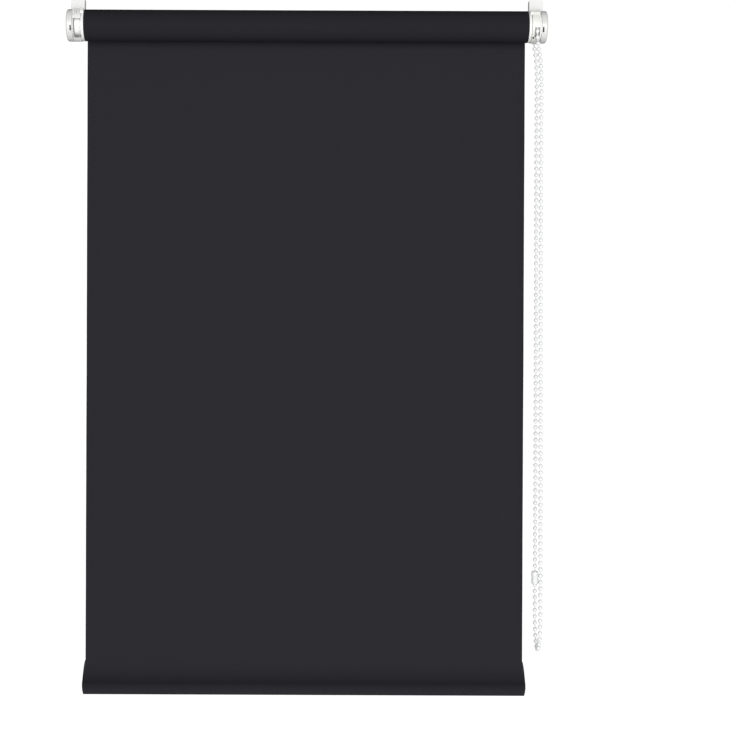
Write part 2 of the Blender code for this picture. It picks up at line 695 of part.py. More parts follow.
def chain_wrap(finish):
    """The stretch of chain on the wheel: beads on a thread, from the front exit over the top to the rear exit."""
    straight = 8.7 * MM
    total = 2 * straight + math.pi * PITCH_R
    along = [straight + k * BEAD_PITCH for k in range(-1, BEADS_ROUND // 2 + 2)]
    stations = [0.0]
    for middle in along:
        stations += [middle + d * BEAD_R for d in (-0.97, -0.75, -0.4, 0.0, 0.4, 0.75, 0.97)]
    stations.append(total)
    points, radii = [], []
    for s in stations:
        near = min(abs(s - middle) for middle in along)
        radii.append(max(THREAD_R, math.sqrt(max(0.0, BEAD_R**2 - near**2))) / BEAD_R)
        angle = min(max(s - straight, 0.0), math.pi * PITCH_R) / PITCH_R
        drop = max(straight - s, 0.0) + max(s - straight - math.pi * PITCH_R, 0.0)
        points.append(Vector((WHEEL_X, -PITCH_R * math.cos(angle), PITCH_R * math.sin(angle) - drop)))
    return wire("chain_wrap", points, BEAD_R, finish, radii=radii, place=TO_AXIS)


def chain_connector(finish):
    """The barrel that joins the chain's two ends and stops it at the guard."""
    upright = Matrix.Rotation(-math.pi / 2, 4, "Y")
    at = chain_point(HANG_X, -PITCH_R, CONNECTOR_DROP)
    half, inner, outer = CONNECTOR_LONG / 2, BEAD_R + 0.35 * MM, 3.3 * MM
    profile = [
        (-half, inner),
        (-half, outer - 0.5 * MM),
        (-half + 0.6 * MM, outer),
        (half - 0.6 * MM, outer),
        (half, outer - 0.5 * MM),
        (half, inner),
    ]
    return turned("chain_connector", profile, finish, Matrix.Translation(at) @ upright, SMALL)


# --- roller -------------------------------------------------------------------------------------------------
PIN_TIP = -221.5 * MM
PIN_SHOULDER = -203.7 * MM
CHAMBER_R = 4.6 * MM
PLUG_END = -188.0 * MM


def roller_tube(finish):
    return ring("roller_tube", CLOTH_LEFT, CLOTH_RIGHT, TUBE_R - TUBE_WALL, TUBE_R, finish)


def fabric_roll(finish):
    return ring("fabric_roll", CLOTH_LEFT, CLOTH_RIGHT, TUBE_R + GAP, ROLL_R, finish)


def idle_end_plug(finish):
    """The plug in the tube's free end: a flange, a drum that shows in the bracket, and a chamber for the sprung pin."""
    flange = CLOTH_LEFT - GAP
    body = TUBE_R - TUBE_WALL - GAP
    bore = PIN_R + 0.35 * MM
    shoulder = PIN_SHOULDER - GAP
    profile = [
        (PLUG_END, CHAMBER_R),
        (PLUG_END, body),
        (flange, body),
        (flange, FLANGE_R),
        (flange - FLANGE_WIDE, FLANGE_R),
        (flange - FLANGE_WIDE, DRUM_R),
        (-DRUM_OUT, DRUM_R),
        (-DRUM_OUT, bore),
        (shoulder, bore),
        (shoulder, CHAMBER_R),
    ]
    return turned("idle_end_plug", profile, finish)


def idle_pin(finish):
    """The sprung pin that snaps into the left bracket."""
    collar = PIN_SHOULDER + 1.8 * MM
    tail = PIN_SHOULDER + 8.2 * MM
    profile = [
        (PIN_TIP, 0),
        (PIN_TIP, PIN_R - 0.6 * MM),
        (PIN_TIP + 0.6 * MM, PIN_R),
        (PIN_SHOULDER, PIN_R),
        (PIN_SHOULDER, CHAMBER_R - 0.4 * MM),
        (collar, CHAMBER_R - 0.4 * MM),
        (collar, 1.7 * MM),
        (tail, 1.7 * MM),
        (tail, 0),
    ]
    return turned("idle_pin", profile, finish, steps=SMALL)


def pin_spring(finish):
    wire_r = 0.3 * MM
    x0 = PIN_SHOULDER + 1.8 * MM + GAP + wire_r
    x1 = PLUG_END - 2.2 * MM - GAP - wire_r
    return wire("pin_spring", helix(x0, x1, 3.2 * MM, 8, 12), wire_r, finish, sides=0, place=TO_AXIS)


def pin_retainer(finish):
    return ring("pin_retainer", PLUG_END - 2.2 * MM, PLUG_END - 0.2 * MM, 2.1 * MM, CHAMBER_R - GAP, finish, steps=SMALL)


# --- hanging cloth and its hem ------------------------------------------------------------------------------
CLOTH_BACK = AXIS_Y + ROLL_R  # the cloth leaves the back of the roll
CLOTH_TOP = AXIS_Z - 5.5 * MM
HEM_TOP = HEM_BOTTOM + HEM_HEIGHT
HEM_LEAN = 58  # the steepest slope of the hem's front, in degrees from upright
HEM_HOLLOW_R = 21.0 * MM  # the hem's front curves forward, then down again, and turns under at its foot
HEM_NOSE_R = 10.0 * MM
HEM_TOE_R = 1.9 * MM
HEM_HEEL_R = 3.4 * MM
HEM_FOOT_WIDE = 10.4 * MM
HEM_BORE_R = 2.6 * MM
HEM_CAP_THICK = 2.0 * MM
HEM_CAP_TOP = HEM_TOP - 5 * MM
BULB_Y = CLOTH_BACK - 9.3 * MM  # the end caps' peg
BULB_Z = HEM_BOTTOM + 5.2 * MM


def fabric_drop(finish):
    low = (CLOTH_LEFT, CLOTH_BACK - CLOTH_THICK, HEM_TOP + GAP)
    return box("fabric_drop", low, (CLOTH_RIGHT, CLOTH_BACK, CLOTH_TOP), finish)


def hem_line():
    """The hem's outer face in (y, z): down its front from the cloth, round its foot and up its back."""
    lean = math.radians(HEM_LEAN)
    start = CLOTH_BACK - CLOTH_THICK
    reach = (HEM_HOLLOW_R + HEM_NOSE_R) * (1 - math.cos(lean))
    toe_z = HEM_BOTTOM + HEM_TOE_R
    bend = toe_z + (HEM_HOLLOW_R + HEM_NOSE_R) * math.sin(lean)
    front = start - reach
    heel = front + HEM_FOOT_WIDE
    hollow = arc(HEM_HOLLOW_R, 0, -HEM_LEAN, 8, (start - HEM_HOLLOW_R, bend))
    nose = arc(HEM_NOSE_R, 180 - HEM_LEAN, 180, 8, (front + HEM_NOSE_R, toe_z))
    toe = arc(HEM_TOE_R, 180, 270, 4, (front + HEM_TOE_R, toe_z))
    foot = arc(HEM_HEEL_R, 270, 350, 5, (heel - HEM_HEEL_R, HEM_BOTTOM + HEM_HEEL_R))
    rise = bezier(
        (heel, HEM_BOTTOM + 4.4 * MM),
        (heel + MM, HEM_BOTTOM + 11 * MM),
        (CLOTH_BACK, bend - 12 * MM),
        (CLOTH_BACK, bend - 2 * MM),
        8,
    )
    return [(start, HEM_TOP), *hollow, *nose[1:], *toe[1:], *foot, *rise, (CLOTH_BACK, HEM_TOP)]


def offset_line(points, distance):
    """Points at a distance to the left of a line in (y, z), seen with Y to the right and Z up."""
    moved = []
    for i, point in enumerate(points):
        before, after = points[max(0, i - 1)], points[min(len(points) - 1, i + 1)]
        run = Vector((after[0] - before[0], after[1] - before[1])).normalized()
        moved.append((point[0] - run.y * distance, point[1] + run.x * distance))
    return moved


def hem_outline(inset, top):
    """The hem from its end, an inset inside its outer face and closed at a height."""
    line = offset_line(hem_line(), inset)
    foot = min(range(len(line)), key=lambda i: line[i][1])
    front, back = line[:foot], line[foot:]
    kept_front = [p for p in front if p[1] < top - 0.5 * MM]
    kept_back = [p for p in back if p[1] < top - 0.5 * MM]
    return [*kept_front, *kept_back, (crossing(back, top), top), (crossing(front, top), top)]


def crossing(line, height):
    """The Y at which a line of (y, z) points reaches a height, or its upper end's Y above it."""
    line = sorted(line, key=lambda p: p[1])
    for (y0, z0), (y1, z1) in zip(line, line[1:]):
        if z0 <= height <= z1 and z1 > z0:
            return y0 + (y1 - y0) * (height - z0) / (z1 - z0)
    return line[-1][0]


def hem_pocket(finish):
    """The cloth pocket at the foot of the blind, open at both ends."""
    outer = hem_outline(0.0, HEM_TOP)
    inner = hem_outline(CLOTH_THICK, HEM_TOP - 12 * MM)
    return sleeve("hem_pocket", outer, inner, CLOTH_LEFT, CLOTH_RIGHT, finish)


def hem_bar(finish):
    """The weight bar in the pocket, with a round channel for its end caps."""
    x0, x1 = CLOTH_LEFT + MM, CLOTH_RIGHT - MM
    bar = prism("hem_bar", hem_outline(CLOTH_THICK + GAP, HEM_TOP - 14 * MM), x0, x1, finish)
    place = Matrix.Translation((0, BULB_Y, BULB_Z))
    return cut(bar, rod("hem_bar_channel", x0 - MM, x1 + MM, HEM_BORE_R, finish, place))


def hem_cap(side, finish):
    """The cap that closes an end of the hem, on a peg in the bar's channel."""
    end = CLOTH_LEFT if side == LEFT else CLOTH_RIGHT
    plate = sorted((end + side * GAP, end + side * HEM_CAP_THICK))
    name = f"hem_cap_{side_name(side)}"
    cap = prism(name, hem_outline(0.1 * MM, HEM_CAP_TOP), *plate, finish)
    peg = sorted((end - side * 12 * MM, end + side * 0.8 * MM))
    place = Matrix.Translation((0, BULB_Y, BULB_Z))
    return fuse(cap, rod(f"{name}_peg", *peg, HEM_BORE_R - GAP, finish, place))


# --- the whole blind ----------------------------------------------------------------------------------------
def build():
    clear_scene()
    white = material("white_plastic", (0.86, 0.86, 0.84), 0.3)
    clear = material("chain_plastic", (0.8, 0.81, 0.82), 0.25)
    steel = material("zinc_steel", (0.62, 0.62, 0.64), 0.35, 1.0)
    painted = material("painted_steel", (0.8, 0.8, 0.78), 0.3)
    cloth = material("anthracite_cloth", (0.02, 0.0195, 0.0235), 0.85)
    dark = material("dark_plastic", (0.02, 0.02, 0.024), 0.5)
    foam = material("foam", (0.75, 0.75, 0.73), 0.9)
    bar = material("bar_plastic", (0.7, 0.7, 0.68), 0.45)

    for side in (LEFT, RIGHT):
        hook = clamp_hook(side, white)
        if side == RIGHT:
            seat_rear_screw(hook, white)
        sash_pad(side, foam)
        clamp_nut(side, steel)
        clamp_pad(side, dark)
        clamp_screw(side, steel)
        cover_cap(side, white)
        hem_cap(side, dark)
    bracket_left(white)
    bracket_right(white)
    bracket_screw_left(painted)
    bracket_screw_right(steel)

    chain_guard(white)
    chain_wheel(white)
    clutch_spindle(white)
    spindle_clip(steel)
    drive_sleeve(white)
    wrap_spring(1, SLEEVE_END + 6.5 * MM, steel)
    wrap_spring(2, SLEEVE_END + 13.8 * MM, steel)

    chain_loop(clear)
    chain_wrap(clear)
    chain_connector(clear)

    roller_tube(steel)
    fabric_roll(cloth)
    idle_end_plug(white)
    idle_pin(white)
    pin_spring(steel)
    pin_retainer(white)

    fabric_drop(cloth)
    hem_pocket(cloth)
    hem_bar(bar)


build()
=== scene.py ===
import math

import bmesh
import bpy
from mathutils import Matrix, Vector, noise


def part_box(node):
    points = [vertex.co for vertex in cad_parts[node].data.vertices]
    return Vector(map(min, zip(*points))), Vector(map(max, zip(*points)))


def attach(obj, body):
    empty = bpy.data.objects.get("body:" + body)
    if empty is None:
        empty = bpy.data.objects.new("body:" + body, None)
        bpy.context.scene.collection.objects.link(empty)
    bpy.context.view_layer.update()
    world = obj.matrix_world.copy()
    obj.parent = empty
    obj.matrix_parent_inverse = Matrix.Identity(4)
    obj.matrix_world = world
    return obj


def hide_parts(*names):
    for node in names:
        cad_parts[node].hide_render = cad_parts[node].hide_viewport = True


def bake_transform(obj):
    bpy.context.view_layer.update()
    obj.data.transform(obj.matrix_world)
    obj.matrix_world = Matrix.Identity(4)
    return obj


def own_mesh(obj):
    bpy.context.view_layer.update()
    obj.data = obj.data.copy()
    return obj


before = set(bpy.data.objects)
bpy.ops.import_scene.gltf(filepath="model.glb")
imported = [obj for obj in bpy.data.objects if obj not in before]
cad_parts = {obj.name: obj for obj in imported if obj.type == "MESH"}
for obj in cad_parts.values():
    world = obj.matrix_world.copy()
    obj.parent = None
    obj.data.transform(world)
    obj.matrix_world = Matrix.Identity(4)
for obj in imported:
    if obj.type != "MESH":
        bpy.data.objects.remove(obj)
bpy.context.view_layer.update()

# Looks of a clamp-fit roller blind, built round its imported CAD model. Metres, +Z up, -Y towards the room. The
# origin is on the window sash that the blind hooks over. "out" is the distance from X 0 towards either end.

MM = 0.001
LEFT, RIGHT = -1, 1
ROOT, ROLLER, HEM = "hooks_and_brackets", "roller", "hem"

# --- sizes read from the frame ---
ROLL_LOW, ROLL_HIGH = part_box("fabric_roll")
AXIS_Y = (ROLL_LOW.y + ROLL_HIGH.y) / 2
AXIS_Z = (ROLL_LOW.z + ROLL_HIGH.z) / 2
ROLL_R = (ROLL_HIGH.z - ROLL_LOW.z) / 2
DROP_LOW, DROP_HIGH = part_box("fabric_drop")
CLOTH_LEFT, CLOTH_RIGHT = DROP_LOW.x, DROP_HIGH.x
CLOTH_BACK = DROP_HIGH.y
CLOTH_THICK = DROP_HIGH.y - DROP_LOW.y
POCKET_LOW, POCKET_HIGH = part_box("hem_pocket")
HEM_TOP, HEM_BOTTOM = POCKET_HIGH.z, POCKET_LOW.z
CAP_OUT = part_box("cover_cap_right")[1].x
TUBE_R = (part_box("roller_tube")[1].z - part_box("roller_tube")[0].z) / 2

# --- sizes that repeat the CAD model's ---
GAP = 0.3 * MM
CAP_R = 15.0 * MM
FLANGE_R, FLANGE_WIDE = 14.3 * MM, 2.4 * MM
BODY_IN, BODY_OUT = 211.4 * MM, 219.0 * MM
SPIGOT_R, SPIGOT_OUT = 13.3 * MM, 220.8 * MM
BEAD_R, THREAD_R, BEAD_PITCH, BEADS_ROUND = 2.0 * MM, 0.6 * MM, 6.0 * MM, 12
PITCH_R = BEADS_ROUND * BEAD_PITCH / math.tau
WHEEL_X, WHEEL_HALF = 215.4 * MM, 2.1 * MM
HOOK_IN, HOOK_OUT = 211.0 * MM, 224.0 * MM
BAR_IN, BAR_OUT, BAR_ROOT = 216.4 * MM, HOOK_OUT - GAP, -5.0 * MM
CLAMP_X = 220.1 * MM
HOOK_TOP, BLOCK_FRONT, BLOCK_BOTTOM = 3.3 * MM, -9.5 * MM, -15.5 * MM
PLATE_FRONT, PLATE_BACK, PLATE_BOTTOM = -4.0 * MM, -1.0 * MM, -35.5 * MM
LEG_FRONT, LEG_BACK, LEG_BOTTOM = 24.0 * MM, 27.0 * MM, -16.0 * MM
CLAMP_Z, CLAMP_FACE_Y = -9.0 * MM, 14.0 * MM
CLAMP_SCREW_R, CLAMP_PITCH, CLAMP_NUT_R = 2.0 * MM, 0.7 * MM, 4.0 * MM
KNOB_FRONT, KNOB_BACK, KNOB_R = 38.0 * MM, 45.0 * MM, 4.7 * MM
BRACKET_SCREW_X, BRACKET_SCREW_Z = 215.0 * MM, AXIS_Z + 10.6 * MM
REAR_SCREW_Z = AXIS_Z - 6.0 * MM
SCREW_HOLE_R, SCREW_SHANK_R = 1.6 * MM, 1.25 * MM
BROW_Y, BROW_HIGH, ROOF_Y, ROOF_Z = -11.8 * MM, 11.2 * MM, -9.5 * MM, 14.4 * MM
TAIL_Z, TAIL_ANGLE = -10.4 * MM, 305
PIN_R, SPINDLE_HOLE_R, RUNNING, HUB_R = 2.5 * MM, 4.35 * MM, 0.4 * MM, 5.9 * MM
DRUM_R, DRUM_OUT, WINDOW_OUT, WINDOW_LOW = 9.0 * MM, BODY_OUT - MM, BODY_OUT - 0.5 * MM, -13.0 * MM
WINDOW_BACK = DRUM_R + 0.5 * MM
WINDOW_LEDGE, WINDOW_LIP = -2 * MM, (-14.6 * MM, 3.6 * MM)
VISOR_IN, VISOR_R, VISOR_STEP = 208.9 * MM, 14.85 * MM, 0.1 * MM
VISOR_LOW, VISOR_BACK = 8.6 * MM, -6.0 * MM
RECESS_FLOOR, RECESS_R = -9.6 * MM, 2.9 * MM
GUARD_IN, GUARD_OUT, GUARD_WALL = 210.6 * MM, BODY_OUT - 0.5 * MM, 0.9 * MM
GUARD_SHORT, GROOVE_HALF, GROOVE_DEEP = 0.45 * MM, 0.15 * MM, 0.35 * MM
WHEEL_WALL = BODY_OUT - 1.2 * MM
WALL_R = CAP_R - GUARD_WALL - GAP
EXIT_EDGE, EXIT_TOP, PIN_HOLE_R = 8.9 * MM, -3.2 * MM, 0.85 * MM
SLOT_IN, SLOT_OUT, SLOT_LOW, SLOT_HIGH, SLOT_DEEP = 220.0 * MM, 221.4 * MM, -7.6 * MM, -2.8 * MM, 1.1 * MM
HEM_LEAN, HEM_HOLLOW_R, HEM_NOSE_R = 58, 21.0 * MM, 10.0 * MM
HEM_TOE_R, HEM_HEEL_R, HEM_FOOT_WIDE = 1.9 * MM, 3.4 * MM, 10.4 * MM
HEM_CAP_TOP, HEM_PEG_R = HEM_TOP - 3.5 * MM, 2.3 * MM
BULB_Y, BULB_Z = CLOTH_BACK - 9.3 * MM, HEM_BOTTOM + 5.2 * MM

TO_AXIS = Matrix.Translation((0, AXIS_Y, AXIS_Z))
HERE = Matrix.Identity(4)
SHARP = math.radians(34)
ROUND = 96
SMALL = 48


# --- materials ---
def shaded(name, colour, roughness, **sockets):
    """A material with its Principled shader's plain values set."""
    made = bpy.data.materials.new(name)
    made.use_nodes = True
    shader = made.node_tree.nodes["Principled BSDF"]
    shader.inputs["Base Color"].default_value = (*colour, 1.0)
    shader.inputs["Roughness"].default_value = roughness
    for socket, value in sockets.items():
        shader.inputs[socket.replace("_", " ")].default_value = value
    return made, made.node_tree, shader


def node(tree, kind, inputs=None, **settings):
    """A node with its settings and its inputs: a number, a colour, or the output that feeds it."""
    made = tree.nodes.new(kind)
    for key, value in settings.items():
        setattr(made, key, value)
    for key, value in (inputs or {}).items():
        if isinstance(value, bpy.types.NodeSocket):
            tree.links.new(value, made.inputs[key])
        else:
            made.inputs[key].default_value = value
    return made


def sums(tree, operation, a, b=0.0):
    """One arithmetic step."""
    return node(tree, "ShaderNodeMath", {0: a, 1: b}, operation=operation).outputs[0]


def noise_over(tree, place, stretch, scale, detail):
    """Noise over some coordinates, stretched along an axis."""
    wide = node(tree, "ShaderNodeMapping", {"Vector": place, "Scale": stretch}).outputs[0]
    return node(tree, "ShaderNodeTexNoise", {"Vector": wide, "Scale": scale, "Detail": detail}).outputs["Fac"]


def speckle(tree, scale, detail=3.0, stretch=(1, 1, 1)):
    """Noise over the piece's own coordinates."""
    place = node(tree, "ShaderNodeTexCoord").outputs["Object"]
    return noise_over(tree, place, stretch, scale, detail)


def ranged(tree, value, low, high):
    """A value from 0 to 1 spread between two others."""
    return node(tree, "ShaderNodeMapRange", {"Value": value, "To Min": low, "To Max": high}).outputs[0]


def tinted(tree, factor, dark, light):
    """A colour between two others."""
    mix = node(tree, "ShaderNodeMix", {0: factor}, data_type="RGBA")
    mix.inputs[6].default_value = (*dark, 1.0)
    mix.inputs[7].default_value = (*light, 1.0)
    return mix.outputs[2]


def bumped(tree, shader, height, distance, strength=1.0):
    made = node(tree, "ShaderNodeBump", {"Height": height, "Distance": distance, "Strength": strength})
    tree.links.new(made.outputs[0], shader.inputs["Normal"])


def moulded(name, colour, roughness, **sockets):
    """Injection-moulded plastic: faint flow in its colour, uneven gloss and the mould's fine texture."""
    made, tree, shader = shaded(name, colour, roughness, **sockets)
    dark = [c * 0.94 for c in colour]
    light = [min(1.0, c * 1.03) for c in colour]
    tree.links.new(tinted(tree, speckle(tree, 90), dark, light), shader.inputs["Base Color"])
    gloss = ranged(tree, speckle(tree, 260), roughness * 0.75, roughness * 1.3)
    tree.links.new(gloss, shader.inputs["Roughness"])
    bumped(tree, shader, speckle(tree, 1500), 0.012 * MM, 0.6)
    return made


def plated(name, colour, roughness, stretch):
    """Zinc-plated steel with fine lines left by its tooling."""
    made, tree, shader = shaded(name, colour, roughness, Metallic=1.0)
    lines = speckle(tree, 500, 2.0, stretch)
    dark = [c * 0.86 for c in colour]
    tree.links.new(tinted(tree, lines, dark, colour), shader.inputs["Base Color"])
    tree.links.new(ranged(tree, lines, roughness * 0.7, roughness * 1.5), shader.inputs["Roughness"])
    bumped(tree, shader, lines, 0.01 * MM, 0.5)
    return made


THREAD = 0.38 * MM  # pitch of the weave's threads


def woven(name, dark, light, roughness, depth, **sockets):
    """Plain weave along the cloth's own coordinates, with slubs in the yarn."""
    made, tree, shader = shaded(name, light, roughness, **sockets)
    along = node(tree, "ShaderNodeAttribute", attribute_name="cloth").outputs["Vector"]
    parts = node(tree, "ShaderNodeSeparateXYZ", {0: along})
    waves = [sums(tree, "SINE", sums(tree, "MULTIPLY", parts.outputs[i], math.pi / THREAD)) for i in (0, 1)]
    warp, weft = (sums(tree, "ABSOLUTE", wave) for wave in waves)
    over = sums(tree, "GREATER_THAN", sums(tree, "MULTIPLY", *waves), 0.0)
    height = node(tree, "ShaderNodeMix", {0: over, 2: warp, 3: weft}, data_type="FLOAT").outputs[0]
    slubs = [noise_over(tree, along, scale, 1.0, 3.0) for scale in ((40, 900, 1), (900, 40, 1))]
    uneven = sums(tree, "MULTIPLY", sums(tree, "ADD", *slubs), 0.5)
    # The colour is darker where the threads dip: painted shade between the threads, mixed with the slubs' own
    # uneven tone.
    shade = sums(tree, "ADD", sums(tree, "MULTIPLY", height, 0.45), sums(tree, "MULTIPLY", uneven, 0.55))
    tree.links.new(tinted(tree, shade, dark, light), shader.inputs["Base Color"])
    tree.links.new(ranged(tree, uneven, roughness - 0.06, roughness + 0.06), shader.inputs["Roughness"])
    bumped(tree, shader, sums(tree, "ADD", height, uneven), depth)
    return made


def foamed(name, colour):
    """Closed-cell foam strip."""
    made, tree, shader = shaded(name, colour, 0.9)
    place = node(tree, "ShaderNodeTexCoord").outputs["Object"]
    cells = node(tree, "ShaderNodeTexVoronoi", {"Vector": place, "Scale": 1400.0}).outputs["Distance"]
    # The colour is darker in the cells' pits, where the bump is low: painted shade.
    dark = [c * 0.8 for c in colour]
    tree.links.new(tinted(tree, cells, dark, colour), shader.inputs["Base Color"])
    bumped(tree, shader, cells, 0.12 * MM)
    return made


COATED = {"Coat_Weight": 0.15, "Coat_Roughness": 0.15}
WHITE = moulded("white_plastic", (0.9, 0.9, 0.885), 0.3, **COATED)
PEARL = moulded("cover_plastic", (0.74, 0.74, 0.73), 0.28, **COATED)
CREAM = moulded("guard_plastic", (0.86, 0.86, 0.82), 0.32, **COATED)
CLEAR = moulded("chain_plastic", (0.88, 0.885, 0.895), 0.5, Specular_IOR_Level=0.3)
PAINTED = moulded("painted_steel", (0.62, 0.62, 0.6), 0.45)
BLACK = moulded("dark_plastic", (0.016, 0.016, 0.019), 0.5, Specular_IOR_Level=0.2)
BAR = moulded("bar_plastic", (0.7, 0.7, 0.68), 0.45)
STEEL = plated("zinc_steel", (0.62, 0.62, 0.64), 0.26, (1, 1, 1))
TUBE_STEEL = plated("tube_steel", (0.58, 0.58, 0.6), 0.32, (0.05, 1, 1))
FOAM = foamed("foam", (0.75, 0.75, 0.73))
CLOTH_FRONT = woven(
    "cloth_front", (0.014, 0.0137, 0.0165), (0.0245, 0.0236, 0.0288), 0.88, 0.05 * MM, Specular_IOR_Level=0.12
)
# The reverse is darker than the front: painted shade that darkens the roll, whose outer face is this one.
CLOTH_REVERSE = woven(
    "cloth_reverse", (0.0125, 0.0121, 0.015), (0.02, 0.0193, 0.0238), 0.9, 0.028 * MM, Specular_IOR_Level=0.1
)


# --- mesh helpers ---
def to_object(bm, name, finishes, place=HERE, sharp=SHARP):
    """The bmesh as an object with its normals facing out. finishes is a material or a list of them."""
    bmesh.ops.remove_doubles(bm, verts=bm.verts, dist=1e-7)
    bmesh.ops.recalc_face_normals(bm, faces=bm.faces)
    mesh = bpy.data.meshes.new(name)
    bm.to_mesh(mesh)
    bm.free()
    mesh.shade_smooth()
    mesh.set_sharp_from_angle(angle=sharp)
    for finish in finishes if isinstance(finishes, list) else [finishes]:
        mesh.materials.append(finish)
    made = bpy.data.objects.new(name, mesh)
    made.matrix_world = place
    bpy.context.scene.collection.objects.link(made)
    return made


def soften(made, width, segments=3):
    """Rounds the piece's edges."""
    step = made.modifiers.new("soft_edges", "BEVEL")
    step.width = width
    step.segments = segments
    step.limit_method = "ANGLE"
    step.angle_limit = math.radians(38)
    step.harden_normals = False
    return made


def combine(target, helper, operation):
    """Adds a Boolean step with a helper, whose finish shows on the faces that it makes."""
    step = target.modifiers.new(helper.name, "BOOLEAN")
    step.operation = operation
    step.solver = "EXACT"
    step.material_mode = "TRANSFER"
    step.object = helper


def settle(made, *helpers):
    """Applies a piece's modifiers and removes the helpers that they used."""
    bpy.context.view_layer.update()
    evaluated = made.evaluated_get(bpy.context.evaluated_depsgraph_get())
    mesh = bpy.data.meshes.new_from_object(evaluated)
    made.modifiers.clear()
    made.data = mesh
    mesh.shade_smooth()
    mesh.set_sharp_from_angle(angle=SHARP)
    for helper in helpers:
        bpy.data.objects.remove(helper)
    return made


def carve(made, *cutters):
    """The piece with the cutters' shapes taken out of it."""
    for cutter in cutters:
        combine(made, cutter, "DIFFERENCE")
    return settle(made, *cutters)


def weld(made, *extra):
    """The piece joined with others into one body."""
    for helper in extra:
        combine(made, helper, "UNION")
    return settle(made, *extra)


def turned(name, profile, finish, place=TO_AXIS, steps=ROUND):
    """A profile of (x, radius) points turned about local X. It is closed, or starts and ends on the axis."""
    bm = bmesh.new()
    rim = [bm.verts.new((x, 0, r)) for x, r in profile]
    for a, b in zip(rim, rim[1:]):
        bm.edges.new((a, b))
    if profile[0][1] > 0:
        bm.edges.new((rim[-1], rim[0]))
    geometry = bm.verts[:] + bm.edges[:]
    bmesh.ops.spin(bm, geom=geometry, cent=(0, 0, 0), axis=(1, 0, 0), angle=math.tau, steps=steps)
    return to_object(bm, name, finish, place)


def rod(name, x0, x1, radius, finish, place=TO_AXIS, steps=SMALL):
    return turned(name, [(x0, 0), (x0, radius), (x1, radius), (x1, 0)], finish, place, steps)


def rounded_corner(corner, toward, away, radius, steps=4):
    """Points that round a corner of a profile between the two neighbours that it lies between."""
    corner, toward, away = Vector(corner), Vector(toward), Vector(away)
    start = corner + (toward - corner).normalized() * radius
    stop = corner + (away - corner).normalized() * radius
    points = []
    for i in range(steps + 1):
        t = i / steps
        points.append(tuple(start * (1 - t) ** 2 + corner * 2 * t * (1 - t) + stop * t**2))
    return points


def eased(profile, radius):
    """A profile with each of its corners off the axis rounded."""
    points = []
    count = len(profile)
    closed = profile[0][1] > 0
    for i, corner in enumerate(profile):
        if not closed and i in (0, count - 1):
            points.append(tuple(corner))
            continue
        before, after = profile[i - 1], profile[(i + 1) % count]
        room = min((Vector(corner) - Vector(p)).length for p in (before, after)) * 0.45
        points += rounded_corner(corner, before, after, min(radius, room))
    return points


def prism(name, outline, x0, x1, finish, place=HERE):
    """An outline of (y, z) points drawn out along X."""
    bm = bmesh.new()
    face = bm.faces.new([bm.verts.new((x0, y, z)) for y, z in outline])
    drawn = bmesh.ops.extrude_face_region(bm, geom=[face])
    moved = [v for v in drawn["geom"] if isinstance(v, bmesh.types.BMVert)]
    bmesh.ops.translate(bm, verts=moved, vec=(x1 - x0, 0, 0))
    return to_object(bm, name, finish, place)


def box(name, low, high, finish, place=HERE):
    low, high = Vector(low), Vector(high)
    bm = bmesh.new()
    bmesh.ops.create_cube(bm, size=1.0)
    size = Matrix.Diagonal((*(high - low), 1))
    bmesh.ops.transform(bm, matrix=Matrix.Translation((low + high) / 2) @ size, verts=bm.verts)
    return to_object(bm, name, finish, place)


def span(side, a, b):
    """Two distances from the middle as an ascending pair of X values on that side."""
    return sorted((side * a, side * b))


def join_rings(bm, rings):
    """Faces between each ring of points and the next, and a face on the first ring."""
    count = len(rings[0])
    for a, b in zip(rings, rings[1:]):
        for k in range(count):
            bm.faces.new((a[k], a[(k + 1) % count], b[(k + 1) % count], b[k]))
    bm.faces.new(rings[0])


def side_name(side):
    return "left" if side == LEFT else "right"


def along_y(x, z):
    """Puts a piece turned about local X with that axis along +Y, through X and Z."""
    return Matrix.Translation((x, 0, z)) @ Matrix.Rotation(math.pi / 2, 4, "Z")


def arc(radius, start, stop, steps, centre=(0.0, 0.0)):
    """Points on a circle in (y, z). 0 degrees is +Y, and 90 degrees is +Z."""
    angles = [math.radians(start + (stop - start) * i / steps) for i in range(steps + 1)]
    return [(centre[0] + radius * math.cos(a), centre[1] + radius * math.sin(a)) for a in angles]


def bezier(a, b, c, d, steps):
    """Points on a cubic Bezier curve in (y, z), both ends included."""
    points = []
    for i in range(steps + 1):
        t = i / steps
        weights = ((1 - t) ** 3, 3 * t * (1 - t) ** 2, 3 * t * t * (1 - t), t**3)
        points.append(tuple(sum(w * p[k] for w, p in zip(weights, (a, b, c, d))) for k in (0, 1)))
    return points


def finished(made, body, slot_name, *nodes):
    """Rides a piece on its body and hides the CAD nodes that it stands for; slot_name is not used."""
    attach(made, body)
    if nodes:
        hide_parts(*nodes)
    return made


# --- cloth ---
ACROSS = 96
FLAP_TOP = HEM_TOP + 3 * MM  # the hem's cloth is welded to the cloth behind it up to here


